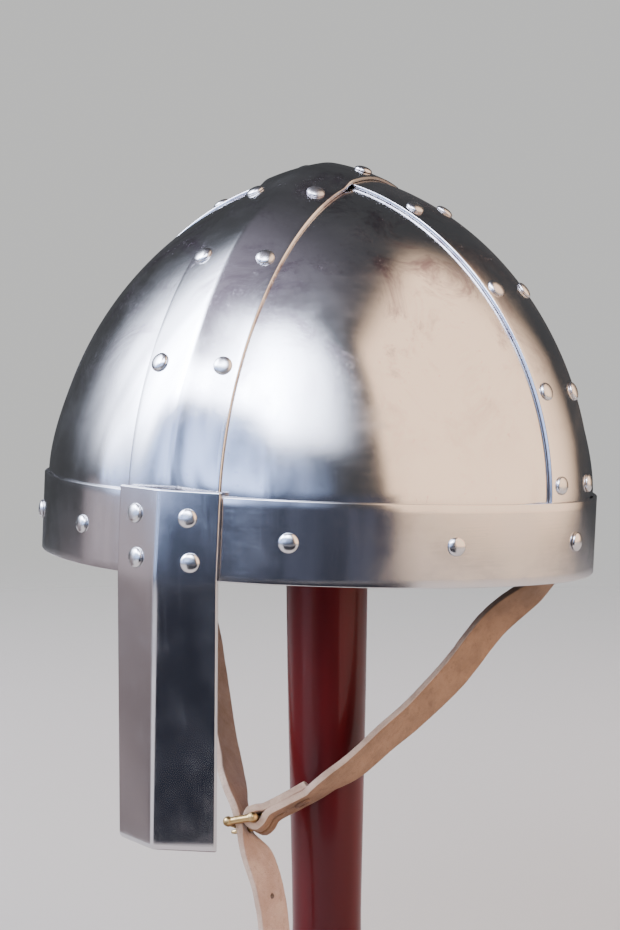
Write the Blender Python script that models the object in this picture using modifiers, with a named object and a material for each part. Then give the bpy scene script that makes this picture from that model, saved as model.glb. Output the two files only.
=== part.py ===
"""A spangenhelm of riveted steel with a leather chin strap, on a turned wooden stand.

Metres, +Z up. The nasal faces -Y and the wearer's left is +X. The stand's foot is centred on the
origin. Four plates are riveted under a fore-and-aft band and a cross band, the lower ends of all
of them are tucked inside a brow band, and the nasal is riveted over the front of the brow band.
"""

from math import cos, pi, radians, sin

import bmesh
import bpy
from mathutils import Matrix, Vector

MM = 0.001

# The helm: outer half sizes of the brow band, and the shape of the crown above it.
HALF_LENGTH = 112 * MM
HALF_WIDTH = 108 * MM
BROW_HEIGHT = 29 * MM
CROWN_HEIGHT = 119.6 * MM
PLAN_POWER = 1.8  # 2 would be an ellipse seen from above
RISE_POWER = 1.86  # 2 would be a half ellipse seen from the side

# Sheet metal, and how deep each layer's outer face lies inside the brow band's outer face.
BROW_SHEET = 1.5 * MM
SHEET = 1.4 * MM
LAP_GAP = 0.35 * MM
BAND_DEPTH = BROW_SHEET + LAP_GAP
PLATE_DEPTH = BAND_DEPTH + SHEET + LAP_GAP
TUCK = 25 * MM  # how far bands and plates reach down inside the brow band

HALF_BAND = 18.4 * MM
KEEL = 2.4 * MM  # the ridge along the fore-and-aft band, at the crown
CLIMB = SHEET + LAP_GAP  # the fore-and-aft band climbs this far to pass over the cross band
CLIMB_START = 32 * MM
CLIMB_END = 20 * MM
PLATE_EDGE = 8 * MM  # a plate's straight edges lie this far from the bands' centre lines
PLATE_TIP = 17 * MM
BULGE = PLATE_DEPTH - BAND_DEPTH  # between the bands the plates swell to meet the brow band
BULGE_START = 21 * MM
BULGE_FULL = 35 * MM

NASAL_CENTRE = 0.8 * MM  # it is set a little towards the wearer's left
NASAL_HALF_WIDTH = 20.1 * MM
NASAL_END_HALF_WIDTH = 19.5 * MM
NASAL_TOP = 29.2 * MM
NASAL_END = -94.5 * MM
NASAL_FACE = -111.4 * MM
NASAL_RIDGE = 6.5 * MM
NASAL_END_RIDGE = 9.7 * MM
NASAL_BEND = 7.3 * MM  # below the rim it is bent back by this much at its end
NASAL_SHEET = 2.0 * MM

# Rivets: a low domed head, a shank, and a clearance hole through every layer.
HEAD_RADIUS = 3.5 * MM
HEAD_RISE = 2.3 * MM
CROWN_OF_HEAD = 0.68  # the head's flat top, as a share of its radius
SHANK_RADIUS = 1.5 * MM
HOLE_RADIUS = 2.2 * MM
UNDER_HEAD = 0.35 * MM
RIVET_INSET = 5.7 * MM
SHANK_END = 0.8 * MM  # how far a shank stands proud on the inside
CROSS_LAP = 2 * SHEET + LAP_GAP
KEEL_LAP = CROSS_LAP + KEEL * RIVET_INSET / HALF_BAND
BROW_LAP = 4.4 * MM
NASAL_LAP = 8.5 * MM
STRAP_LAP = 8.5 * MM
ROWS_UP_ARM = (3.8, 22.5, 44.1, 66.8)  # degrees up each arm of the bands, from the brow
ROWS_UP_FRONT = (25.2, 48.5, 70.2)
BROW_RIVETS = (23.5, 56.0, 88.3, 119.0, 149.5)  # degrees round from the front, both ways
STRAP_RIVET = 119.0
# Rivets through the nasal, in millimetres: across from its ridge, and height over the rim.
NASAL_RIVETS = ((-11.6, 21.5), (9.9, 21.3), (-10.2, 6.3), (11.4, 6.2))

# The chin strap and its buckle.
STRAP_WIDTH = 15 * MM
LEATHER = 2.8 * MM
STRAP_DEPTH = 7.0 * MM  # of the leather's middle, where it is riveted inside the wall
BEND_RADIUS = 3.8 * MM
BEND_CENTRE = 0.7 * MM  # beyond the axle, which the strap pulls against
WIRE = 1.3 * MM
BALL = 1.6 * MM
PIN_WIRE = 1.0 * MM
EYE_RADIUS = WIRE + 0.3 * MM + PIN_WIRE
BUCKLE_LENGTH = 9.6 * MM
BUCKLE_HALF_WIDTH = 9.7 * MM
STRAP_IN_BUCKLE = 6.4 * MM  # from the axle to the middle of the strap that passes through
STRAIGHT_IN_BUCKLE = 3.5 * MM
SLOT_WIDTH = 3.2 * MM
AXLE = Vector((-12.5, -31.2, 96.1)) * MM
BUCKLE_TURN = (-13.5, 18.0)
FOLD_TURN = (-13.5, 20.5)  # the folded leather is askew on the axle
BUCKLE_FORWARD = Vector((-0.937, -0.276, -0.212))

# The stand, and where the helm sits on it.
HELM_PLACE = Vector((-3.5, -1.9, 195.0)) * MM
LEAN = radians(2.5)
LEAN_TOWARDS = radians(28.1)  # from +X round to +Y

# Routes of the two straps below the rim, in millimetres over the stand's foot. The last two
# columns turn the strap's width: degrees from +Y towards +X, and degrees below level.
#   X      Y      Z     turn  dip
LEFT_ROUTE = (
    (71.7, 38.3, 182.6, -2, 30),
    (59.1, 25.9, 169.7, 10, 42),
    (48.4, 13.4, 151.6, 12, 41),
    (37.8, 2.1, 137.3, 2, 40),
    (28.8, -7.3, 127.3, -4, 40),
    (20.9, -15.9, 118.1, -5, 36),
    (13.0, -22.0, 111.9, -8, 26),
)
RIGHT_ROUTE = (
    (-85.1, 43.0, 172.4, 20, 0),
    (-69.0, 26.6, 150.1, 2, 0),
    (-48.9, 3.3, 124.2, -11, 0),
    (-36.6, -11.6, 111.7, -12, 4),
    (-26.9, -25.3, 104.9, -13, 8),
)
TAIL_ROUTE = (
    (-11.3, -35.3, 83.6, 10, 0),
    (-7.7, -34.8, 74.3, 12, 0),
    (-5.7, -34.2, 64.7, 12, 0),
    (-4.8, -33.5, 55.2, 12, 0),
    (-4.5, -33.3, 48.3, 12, 0),
)
TAIL_HOLES = (5,)  # rows from the tail's end
# The fold round the axle, in millimetres: along the strap from the axle, and across it.
FOLD_IN = ((23.0, -0.8), (14.0, -1.0), (7.5, -1.6), (3.6, -3.0))
FOLD_ARC = (-112, -146, -180, -214, -248)
FOLD_OUT = ((3.6, 3.0), (7.5, 2.1), (14.0, 2.1), (18.5, 2.2), (23.0, 2.4))

# The turned stand, in millimetres: radius and height, running down the outer side.
STAND_PROFILE = (
    (0.0, 337.6),
    (12.0, 336.2),
    (23.0, 332.0),
    (32.0, 326.0),
    (36.5, 321.0),
    (35.0, 315.5),
    (22.0, 305.0),
    (16.6, 290.0),
    (16.0, 250.0),
    (15.8, 195.0),
    (15.3, 150.0),
    (14.3, 99.0),
    (13.5, 60.0),
    (13.6, 44.0),
    (15.5, 33.0),
    (22.0, 24.5),
    (30.0, 22.0),
    (62.0, 20.0),
    (71.0, 16.0),
    (75.0, 10.0),
    (75.0, 3.0),
    (73.0, 0.0),
    (0.0, 0.0),
)

# Subdivision.
BAND_STATIONS = 30
BAND_OFFSETS = (-1.0, -0.5, 0.0, 0.5, 1.0)
BROW_STATIONS = 64
PLATE_ROWS = 8
PLATE_COLUMNS = (0.0, 0.09, 0.19, 0.35, 0.5, 0.65, 0.81, 0.91, 1.0)
STRAP_SPACING = 5 * MM
STAND_STEPS = 24
RIVET_STEPS = 8
HOLE_STEPS = 6
WIRE_STEPS = 8


# ---- Collections, materials and objects ---------------------------------------------


def clear_scene():
    for thing in list(bpy.data.objects):
        bpy.data.objects.remove(thing, do_unlink=True)


def new_collection(name, hidden=False):
    collection = bpy.data.collections.new(name)
    bpy.context.scene.collection.children.link(collection)
    collection.hide_render = hidden
    return collection


def finish(name, color, roughness, metallic):
    material = bpy.data.materials.new(name)
    material.use_nodes = True
    shader = material.node_tree.nodes["Principled BSDF"]
    shader.inputs["Base Color"].default_value = (*color, 1)
    shader.inputs["Roughness"].default_value = roughness
    shader.inputs["Metallic"].default_value = metallic
    return material


def add_object(name, data, material, parent=None):
    obj = bpy.data.objects.new(name, data)
    data.materials.append(material)
    obj.parent = parent
    parts.objects.link(obj)
    return obj


def mesh_of(name, bm):
    bmesh.ops.recalc_face_normals(bm, faces=bm.faces)
    mesh = bpy.data.meshes.new(name)
    bm.to_mesh(mesh)
    bm.free()
    return mesh


def add_cutter(name, bm, parent=None):
    obj = bpy.data.objects.new(name, mesh_of(name, bm))
    obj.parent = parent
    obj.hide_render = True
    obj.display_type = "WIRE"
    cutters.objects.link(obj)
    return obj


def boolean(obj, other, operation="DIFFERENCE"):
    modifier = obj.modifiers.new(f"{operation.lower()} {other.name}", "BOOLEAN")
    modifier.operation = operation
    modifier.solver = "EXACT"
    modifier.object = other


def loft(name, rings, closed=False):
    """Quads between rings of equal length, capped unless the rings close on themselves."""
    bm = bmesh.new()
    rows = [[bm.verts.new(point) for point in ring] for ring in rings]
    count = len(rows[0])
    for row, after in zip(rows, rows[1:] + rows[:1] if closed else rows[1:]):
        for i in range(count):
            j = (i + 1) % count
            bm.faces.new((row[i], row[j], after[j], after[i]))
    if not closed:
        bm.faces.new(rows[0])
        bm.faces.new(rows[-1])
    return mesh_of(name, bm)


def facing(place, direction):
    """A matrix that stands Z along a direction."""
    turned = direction.to_track_quat("Z", "Y").to_matrix().to_4x4()
    return Matrix.Translation(place) @ turned


def add_rod(bm, start, end, radius, sides):
    bmesh.ops.create_cone(
        bm,
        cap_ends=True,
        segments=sides,
        radius1=radius,
        radius2=radius,
        depth=(end - start).length,
        matrix=facing((start + end) / 2, end - start),
    )


def add_turned(name, profile, steps, material, parent=None):
    """A profile of (radius, height) points, turned round Z."""
    mesh = bpy.data.meshes.new(name)
    points = [(radius, 0, height) for radius, height in profile]
    mesh.from_pydata(points, [(i, i + 1) for i in range(len(points) - 1)], [])
    obj = add_object(name, mesh, material, parent)
    screw = obj.modifiers.new("turn", "SCREW")
    screw.axis = "Z"
    screw.steps = steps
    screw.render_steps = steps
    screw.use_merge_vertices = True
    screw.merge_threshold = 0.00001
    screw.use_smooth_shade = True
    return obj


# ---- The surface that every layer of the helm follows --------------------------------


def ease(x):
    x = min(max(x, 0.0), 1.0)
    return x * x * (3 - 2 * x)


def crown(across, along, depth):
    """The point of the layer at this depth, above this place in plan."""
    u = abs(across / (HALF_WIDTH - depth)) ** PLAN_POWER
    v = abs(along / (HALF_LENGTH - depth)) ** PLAN_POWER
    rise = (CROWN_HEIGHT - depth) * max(1 - u - v, 0) ** (1 / RISE_POWER)
    return Vector((across, along, BROW_HEIGHT + rise))


def brow(turn, depth, height):
    """A point of a level ring, turned round from the front towards the wearer's left."""
    spread = abs(sin(turn)) ** PLAN_POWER + abs(cos(turn)) ** PLAN_POWER
    reach = spread ** (-1 / PLAN_POWER)
    across = (HALF_WIDTH - depth) * reach * sin(turn)
    along = -(HALF_LENGTH - depth) * reach * cos(turn)
    return Vector((across, along, height))


def arch(offset, angle, depth, half_span, half_width):
    """Run along an arch and its height, at an offset from the arch's centre line."""
    share = 1 - abs(offset / (half_width - depth)) ** PLAN_POWER
    run = (half_span - depth) * share ** (1 / PLAN_POWER) * cos(angle)
    steep = max(1 - abs(cos(angle)) ** PLAN_POWER, 0)
    rise = (CROWN_HEIGHT - depth) * (share * steep) ** (1 / RISE_POWER)
    return run, BROW_HEIGHT + rise


def fore_aft(offset, angle, depth):
    """The fore-and-aft band's face: angle 0 is at the front, 180 degrees at the back."""
    keel = KEEL * max(sin(angle), 0) ** 0.6 * (1 - abs(offset) / HALF_BAND)
    from_crossing = abs(HALF_LENGTH * cos(angle))
    climb = CLIMB * ease((CLIMB_START - from_crossing) / (CLIMB_START - CLIMB_END))
    run, height = arch(offset, angle, depth - keel - climb, HALF_LENGTH, HALF_WIDTH)
    return Vector((offset, -run, height))


def cross(offset, angle, depth):
    """The cross band's face: angle 0 is at the wearer's left, 180 degrees at the right."""
    run, height = arch(offset, angle, depth, HALF_WIDTH, HALF_LENGTH)
    return Vector((run, offset, height))


def normal_at(face, offset, angle):
    step, turn = 0.5 * MM, 0.005
    along = face(offset, angle + turn, BAND_DEPTH) - face(offset, angle - turn, BAND_DEPTH)
    across = face(offset + step, angle, BAND_DEPTH) - face(offset - step, angle, BAND_DEPTH)
    normal = along.cross(across).normalized()
    outward = face(offset, angle, BAND_DEPTH) - Vector((0, 0, BROW_HEIGHT))
    return normal if normal.dot(outward) > 0 else -normal


# ---- Shells --------------------------------------------------------------------------


def band_rings(face):
    """Cross sections of a band, from its tucked end at one side to that at the other."""
    offsets = [HALF_BAND * share for share in BAND_OFFSETS]
    angles = [pi * i / BAND_STATIONS for i in range(BAND_STATIONS + 1)]
    rings = []
    for angle, drop in [(0, TUCK), *((angle, 0) for angle in angles), (pi, TUCK)]:
        outer = [face(offset, angle, BAND_DEPTH) for offset in offsets]
        inner = [face(offset, angle, BAND_DEPTH + SHEET) for offset in reversed(offsets)]
        rings.append([point - Vector((0, 0, drop)) for point in outer + inner])
    return rings


def brow_rings():
    rings = []
    for i in range(BROW_STATIONS):
        turn = 2 * pi * i / BROW_STATIONS
        outer = [brow(turn, 0, height) for height in (0, BROW_HEIGHT)]
        inner = [brow(turn, BROW_SHEET, height) for height in (BROW_HEIGHT, 0)]
        rings.append(outer + inner)
    return rings


def plate_place(column, row, depth):
    """Across and along of a plate's grid: column 0 at the fore-and-aft band, row 0 at the brow."""
    half_width, half_length = HALF_WIDTH - depth, HALF_LENGTH - depth
    u, v = PLATE_EDGE / half_width, PLATE_EDGE / half_length
    first = Vector(((1 - u**PLAN_POWER) ** (1 / PLAN_POWER), u)).angle(Vector((1, 0)))
    last = Vector((v, (1 - v**PLAN_POWER) ** (1 / PLAN_POWER))).angle(Vector((1, 0)))
    turn = first + (last - first) * column
    foot = brow(turn, depth, 0)
    tip = Vector((PLATE_EDGE, PLATE_TIP)).lerp(Vector((PLATE_TIP, PLATE_EDGE)), column)
    return tip.lerp(Vector((foot.x, -foot.y)), cos(row * pi / 2))


def plate_point(column, row, inward):
    across, along = plate_place(column, row, PLATE_DEPTH)
    height = crown(across, along, PLATE_DEPTH).z if row else BROW_HEIGHT
    swell = ease((across - BULGE_START) / (BULGE_FULL - BULGE_START))
    swell *= ease((along - BULGE_START) / (BULGE_FULL - BULGE_START))
    swell *= ease(1 - (height - BROW_HEIGHT) / BULGE_FULL)
    depth = PLATE_DEPTH - BULGE * swell + inward
    across, along = plate_place(column, row, depth)
    return crown(across, along, depth) if row else Vector((across, along, BROW_HEIGHT))


def plate_rings(side, end):
    """Cross sections of one plate, from its foot inside the brow band up to its tip."""
    rings = []
    for row, drop in [(0, TUCK), *((i / PLATE_ROWS, 0) for i in range(PLATE_ROWS + 1))]:
        outer = [plate_point(column, row, 0) for column in PLATE_COLUMNS]
        inner = [plate_point(column, row, SHEET) for column in reversed(PLATE_COLUMNS)]
        rings.append([Vector((side * p.x, end * p.y, p.z - drop)) for p in outer + inner])
    return rings


def nasal_section(height):
    """The V section of the nasal at this height over the rim: front corners, then back corners."""
    share = (NASAL_TOP - height) / (NASAL_TOP - NASAL_END)
    half_width = NASAL_HALF_WIDTH + (NASAL_END_HALF_WIDTH - NASAL_HALF_WIDTH) * share
    ridge = NASAL_RIDGE + (NASAL_END_RIDGE - NASAL_RIDGE) * share
    edge = NASAL_FACE + NASAL_BEND * max(height / NASAL_END, 0)
    front = [(-half_width, edge), (0, edge - ridge), (half_width, edge)]
    back = [(x, y + NASAL_SHEET) for x, y in reversed(front)]
    return [Vector((NASAL_CENTRE + x, y, height)) for x, y in front + back]


# ---- Rivets --------------------------------------------------------------------------


def arm_rivets():
    """Name, foot, normal and lap of each rivet along the four arms of the bands."""
    arms = (
        ("front", fore_aft, 0, 1, ROWS_UP_FRONT, KEEL_LAP),
        ("back", fore_aft, 180, -1, ROWS_UP_ARM, KEEL_LAP),
        ("left", cross, 0, 1, ROWS_UP_ARM, CROSS_LAP),
        ("right", cross, 180, -1, ROWS_UP_ARM, CROSS_LAP),
    )
    rivets = []
    for arm, face, start, way, rows, lap in arms:
        for row, angle in enumerate(radians(start + way * row) for row in rows):
            for column, side in enumerate((-1, 1)):
                offset = side * (HALF_BAND - RIVET_INSET)
                foot = face(offset, angle, BAND_DEPTH)
                name = f"rivet_{arm}_{2 * row + column + 1}"
                rivets.append((name, foot, normal_at(face, offset, angle), lap))
    return rivets


def brow_rivets():
    """Name, foot, normal and lap of each rivet round the brow band."""
    rivets = []
    turns = [*BROW_RIVETS, 180.0, *(-turn for turn in reversed(BROW_RIVETS))]
    for i, turn in enumerate(turns):
        step = 0.005
        foot = brow(radians(turn), 0, BROW_HEIGHT / 2)
        tangent = brow(radians(turn) + step, 0, 0) - brow(radians(turn) - step, 0, 0)
        normal = tangent.cross(Vector((0, 0, 1))).normalized()
        lap = STRAP_LAP if abs(turn) == STRAP_RIVET else BROW_LAP
        rivets.append((f"rivet_brow_{i + 1}", foot, normal, lap))
    return rivets


def nasal_rivets():
    """Name, foot, normal and lap of each rivet that is joined to the nasal."""
    rivets = []
    for across, height in NASAL_RIVETS:
        right, ridge, left = nasal_section(height * MM)[:3]
        edge = left if across > 0 else right
        normal = (edge - ridge).cross(Vector((0, 0, 1))).normalized()
        foot = ridge.lerp(edge, across * MM / (edge.x - ridge.x))
        rivets.append(("nasal", foot, normal if normal.y < 0 else -normal, NASAL_LAP))
    return rivets


def crossing_rivets():
    """Name, foot, normal and lap of each rivet that is joined to the upper band's middle."""
    rivets = []
    for side in (-1, 1):
        offset = side * (HALF_BAND - RIVET_INSET)
        foot = fore_aft(offset, pi / 2, BAND_DEPTH)
        rivets.append(("crossing", foot, normal_at(fore_aft, offset, pi / 2), KEEL_LAP))
    return rivets


def rivet_profile(length):
    return (
        (0, HEAD_RISE),
        (CROWN_OF_HEAD * HEAD_RADIUS, 0.72 * HEAD_RISE),
        (HEAD_RADIUS, 0),
        (SHANK_RADIUS, 0),
        (SHANK_RADIUS, -length),
        (0, -length),
    )


def add_rivet(name, foot, normal, lap):
    profile = rivet_profile(UNDER_HEAD + lap + SHANK_END)
    rivet = add_turned(name, profile, RIVET_STEPS, steel, helm)
    rivet.matrix_local = facing(foot + UNDER_HEAD * normal, normal)


def rivet_holes(name, rivets):
    """A cutter with one six-sided rod for each rivet."""
    bm = bmesh.new()
    for _, foot, normal, _ in rivets:
        add_rod(bm, foot - 12 * MM * normal, foot + 7 * MM * normal, HOLE_RADIUS, HOLE_STEPS)
    return add_cutter(name, bm, helm)


def joined_rivets(name, rivets):
    """Rivets for a union with the plate that they hold, their heads sunk a little into it."""
    bm = bmesh.new()
    for _, foot, normal, lap in rivets:
        place = facing(foot - UNDER_HEAD * normal, normal)
        rings = []
        for radius, height in rivet_profile(lap + SHANK_END)[1:-1]:
            turns = [2 * pi * i / RIVET_STEPS for i in range(RIVET_STEPS)]
            corners = [Vector((radius * cos(t), radius * sin(t), height)) for t in turns]
            rings.append([bm.verts.new(place @ corner) for corner in corners])
        for ring, after in zip(rings, rings[1:]):
            for i in range(RIVET_STEPS):
                j = (i + 1) % RIVET_STEPS
                bm.faces.new((ring[i], ring[j], after[j], after[i]))
        bm.faces.new(rings[0])
        bm.faces.new(rings[-1])
    return add_cutter(name, bm, helm)


# ---- The chin strap ------------------------------------------------------------------


def width_way(turn, dip):
    turn, dip = radians(turn), radians(dip)
    return Vector((sin(turn) * cos(dip), cos(turn) * cos(dip), -sin(dip)))


def route(table):
    return [(Vector(row[:3]) * MM, width_way(*row[3:])) for row in table]


def wall_rows(turn):
    """A strap's upper end, riveted flat against the inside of the wall."""
    step = 0.01
    tangent = brow(turn + step, STRAP_DEPTH, 0) - brow(turn - step, STRAP_DEPTH, 0)
    tangent = tangent.normalized() * (1 if tangent.y > 0 else -1)
    width = helm_matrix.to_3x3() @ tangent
    heights = (22 * MM, 14 * MM, 5 * MM)
    return [(helm_matrix @ brow(turn, STRAP_DEPTH, height), width) for height in heights]


def fold_rows():
    """The end of the left strap: down to the axle, round it, and back along the strap."""
    fold_way = width_way(*FOLD_TURN)
    along = (Vector(LEFT_ROUTE[-1][:3]) * MM - AXLE).normalized()
    along = (along - along.dot(fold_way) * fold_way).normalized()
    across = along.cross(fold_way)
    if across.z < 0:
        across.negate()
    arc = [(cos(radians(t)) * BEND_RADIUS + BEND_CENTRE, sin(radians(t)) * BEND_RADIUS) for t in FOLD_ARC]
    leaves = [[(a * MM, b * MM) for a, b in leaf] for leaf in (FOLD_IN, FOLD_OUT)]
    path = [*leaves[0], *arc, *leaves[1]]
    return [(AXLE + a * along + b * across, fold_way) for a, b in path]


def buckle_rows():
    """The right strap where it passes through the buckle."""
    middle = AXLE + STRAP_IN_BUCKLE * forward
    ahead = (0.12 * forward + upward).normalized()
    return [(middle + way * STRAIGHT_IN_BUCKLE * ahead, axle_way) for way in (1, 0, -1)]


def smooth_rows(rows):
    """Rows every STRAP_SPACING or so along a smooth curve through the given rows."""
    padded = [rows[0], *rows, rows[-1]]
    result = []
    for a, b, c, d in zip(padded, padded[1:], padded[2:], padded[3:]):
        steps = max(1, round((c[0] - b[0]).length / STRAP_SPACING))
        for t in (i / steps for i in range(steps)):
            weights = (-t + 2 * t**2 - t**3, 2 - 5 * t**2 + 3 * t**3, t + 4 * t**2 - 3 * t**3, t**3 - t**2)
            mixed = [
                sum((w / 2 * row[k] for w, row in zip(weights, (a, b, c, d))), Vector((0, 0, 0)))
                for k in (0, 1)
            ]
            result.append(tuple(mixed))
    return [*result, rows[-1]]


def strap_rings(rows):
    """Rectangular sections of a strap along its route."""
    rings = []
    for i, (point, width) in enumerate(rows):
        ahead = (rows[min(i + 1, len(rows) - 1)][0] - rows[max(i - 1, 0)][0]).normalized()
        side = (width - width.dot(ahead) * ahead).normalized() * STRAP_WIDTH / 2
        thick = ahead.cross(side).normalized() * LEATHER / 2
        corners = ((1, 1), (-1, 1), (-1, -1), (1, -1))
        rings.append([point + a * side + b * thick for a, b in corners])
    return rings


def add_strap(name, rows):
    return add_object(name, loft(name, strap_rings(rows)), leather)


def punched_holes(rows):
    """A cutter for the holes in the strap's tail, and for the pin's hole in the buckle."""
    bm = bmesh.new()
    for back in TAIL_HOLES:
        point, width = rows[-back]
        ahead = (rows[1 - back][0] - rows[-1 - back][0]).normalized()
        reach = 3 * MM * ahead.cross(width).normalized()
        add_rod(bm, point - reach, point + reach, 1.2 * MM, WIRE_STEPS)
    start = AXLE - EYE_RADIUS * upward + BEND_RADIUS * forward
    add_rod(bm, start, start + 6 * MM * forward, PIN_WIRE + 0.45 * MM, WIRE_STEPS)
    return add_cutter("punched holes", bm)


def fold_slot():
    """A cutter for the slot in the fold, which lets the pin turn on the axle."""
    bm = bmesh.new()
    centre = AXLE + 1.5 * MM * forward
    axes = Matrix((forward, axle_way, upward)).transposed().to_4x4()
    size = Matrix.Diagonal((13 * MM, SLOT_WIDTH, 14 * MM, 1))
    bmesh.ops.create_cube(bm, size=1, matrix=Matrix.Translation(centre) @ axes @ size)
    return add_cutter("fold slot", bm)


# ---- The buckle ----------------------------------------------------------------------


def add_buckle_frame():
    """A rectangle of wire with a ball at each corner."""
    middle = AXLE + BUCKLE_LENGTH / 2 * forward
    rings, balls = [], bmesh.new()
    for a, b in ((-1, -1), (1, -1), (1, 1), (-1, 1)):
        corner = middle + a * BUCKLE_LENGTH / 2 * forward + b * BUCKLE_HALF_WIDTH * axle_way
        mitre = a * forward + b * axle_way
        turns = [2 * pi * i / WIRE_STEPS for i in range(WIRE_STEPS)]
        rings.append([corner + WIRE * (cos(t) * mitre + sin(t) * upward) for t in turns])
        place = facing(corner, axle_way)
        bmesh.ops.create_uvsphere(balls, u_segments=8, v_segments=6, radius=BALL, matrix=place)
    frame = add_object("buckle_frame", loft("buckle_frame", rings, closed=True), brass)
    boolean(frame, add_cutter("buckle balls", balls), "UNION")


def add_buckle_pin():
    """A wire bent round the axle, then straight out under the buckle's outer bar."""
    turns = [radians(turn) for turn in range(220, -91, -31)]
    path = [AXLE + EYE_RADIUS * (cos(t) * forward + sin(t) * upward) for t in turns]
    path.append(AXLE - EYE_RADIUS * upward + (BUCKLE_LENGTH + 1.8 * MM) * forward)
    curve = bpy.data.curves.new("buckle_pin", "CURVE")
    curve.dimensions = "3D"
    curve.bevel_depth = PIN_WIRE
    curve.bevel_resolution = 2
    curve.use_fill_caps = True
    spline = curve.splines.new("POLY")
    spline.points.add(len(path) - 1)
    for point, place in zip(spline.points, path):
        point.co = (*place, 1)
    add_object("buckle_pin", curve, brass)


# ---- The whole object ----------------------------------------------------------------

clear_scene()
parts = new_collection("spangenhelm on a stand")
cutters = new_collection("cutters", hidden=True)
steel = finish("polished steel", (0.60, 0.58, 0.57), 0.20, 1.0)
brow_steel = finish("brushed steel", (0.52, 0.51, 0.52), 0.28, 1.0)
leather = finish("tan leather", (0.48, 0.31, 0.22), 0.75, 0.0)
brass = finish("old brass", (0.60, 0.44, 0.20), 0.32, 1.0)
lacquer = finish("red lacquer", (0.11, 0.014, 0.014), 0.18, 0.0)

lean_axis = Vector((-sin(LEAN_TOWARDS), cos(LEAN_TOWARDS), 0))
helm_matrix = Matrix.Translation(HELM_PLACE) @ Matrix.Rotation(LEAN, 4, lean_axis)
helm = bpy.data.objects.new("helm", None)
helm.matrix_world = helm_matrix
parts.objects.link(helm)

arm_holes = rivet_holes("arm holes", arm_rivets())
brow_holes = rivet_holes("brow holes", brow_rivets())
nasal_holes = rivet_holes("nasal holes", nasal_rivets())
crossing_holes = rivet_holes("crossing holes", crossing_rivets())

brow_band = add_object("brow_band", loft("brow_band", brow_rings(), closed=True), brow_steel, helm)
boolean(brow_band, brow_holes)
boolean(brow_band, nasal_holes)

fore_aft_band = add_object("fore_aft_band", loft("fore_aft_band", band_rings(fore_aft)), steel, helm)
for cutter in (arm_holes, brow_holes, nasal_holes):
    boolean(fore_aft_band, cutter)
boolean(fore_aft_band, joined_rivets("crossing rivets", crossing_rivets()), "UNION")

cross_band = add_object("cross_band", loft("cross_band", band_rings(cross)), steel, helm)
for cutter in (arm_holes, brow_holes, crossing_holes):
    boolean(cross_band, cutter)

for end_name, end in (("front", -1), ("back", 1)):
    for side_name, side in (("left", 1), ("right", -1)):
        name = f"plate_{end_name}_{side_name}"
        plate = add_object(name, loft(name, plate_rings(side, end)), steel, helm)
        for cutter in (arm_holes, brow_holes, nasal_holes):
            boolean(plate, cutter)

nasal_heights = (NASAL_TOP, 0, NASAL_END)
nasal_rings = [nasal_section(height) for height in nasal_heights]
nasal = add_object("nasal", loft("nasal", nasal_rings), brow_steel, helm)
boolean(nasal, joined_rivets("nasal rivets", nasal_rivets()), "UNION")

for rivet in arm_rivets() + brow_rivets():
    add_rivet(*rivet)

axle_way = width_way(*BUCKLE_TURN)
forward = (BUCKLE_FORWARD - BUCKLE_FORWARD.dot(axle_way) * axle_way).normalized()
upward = axle_way.cross(forward)

left_rows = wall_rows(radians(STRAP_RIVET)) + route(LEFT_ROUTE) + fold_rows()
strap_left = add_strap("strap_left", smooth_rows(left_rows))
boolean(strap_left, brow_holes)
boolean(strap_left, fold_slot())

right_rows = wall_rows(radians(-STRAP_RIVET)) + route(RIGHT_ROUTE) + buckle_rows() + route(TAIL_ROUTE)
right_rows = smooth_rows(right_rows)
strap_right = add_strap("strap_right", right_rows)
boolean(strap_right, brow_holes)
boolean(strap_right, punched_holes(right_rows))

add_buckle_frame()
add_buckle_pin()

stand_profile = [(radius * MM, height * MM) for radius, height in STAND_PROFILE]
add_turned("stand", stand_profile, STAND_STEPS, lacquer)
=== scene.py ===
# %% [markdown]
# # A spangenhelm on its stand
#
# A spangenhelm is a helmet made from flat strips and plates, because a smith who can't raise a
# whole bowl can still bend small pieces. Four curved plates meet under two crossed bands, a brow
# band closes the rim over their lower ends, and a nasal guards the face. Rivets hold all of it,
# and a leather strap with a small brass buckle ties it under the chin. This one rests on a turned
# post with a dark red lacquer.
#
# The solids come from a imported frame. This lesson dresses them: it makes each piece again with
# smooth curves and fine edges, in the same place, and gives each one a finish.

from functools import partial
from math import cos, pi, radians, sin

import bmesh
import bpy
import numpy as np
from mathutils import Matrix, Vector, noise


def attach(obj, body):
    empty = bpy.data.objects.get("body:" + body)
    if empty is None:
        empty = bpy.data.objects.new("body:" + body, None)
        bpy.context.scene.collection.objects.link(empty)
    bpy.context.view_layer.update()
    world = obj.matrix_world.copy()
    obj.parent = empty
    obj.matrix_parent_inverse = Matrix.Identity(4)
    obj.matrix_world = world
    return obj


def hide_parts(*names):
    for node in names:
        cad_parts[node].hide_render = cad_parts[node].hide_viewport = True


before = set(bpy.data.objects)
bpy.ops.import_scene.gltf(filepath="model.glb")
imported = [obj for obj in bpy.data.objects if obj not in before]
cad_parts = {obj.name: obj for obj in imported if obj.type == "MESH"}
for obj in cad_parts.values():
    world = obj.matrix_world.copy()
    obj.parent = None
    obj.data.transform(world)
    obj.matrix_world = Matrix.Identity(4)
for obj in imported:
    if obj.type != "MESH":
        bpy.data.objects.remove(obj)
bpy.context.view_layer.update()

# %% [markdown]
# ## Small tools
#
# Two kinds of node tree are built below, one that makes shapes and one that makes finishes. Both
# do sums on every point. Writing a sum as nodes takes many lines, so `Term` lets the usual signs
# add the nodes: `a * b + 1` becomes a Multiply node and an Add node.

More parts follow.
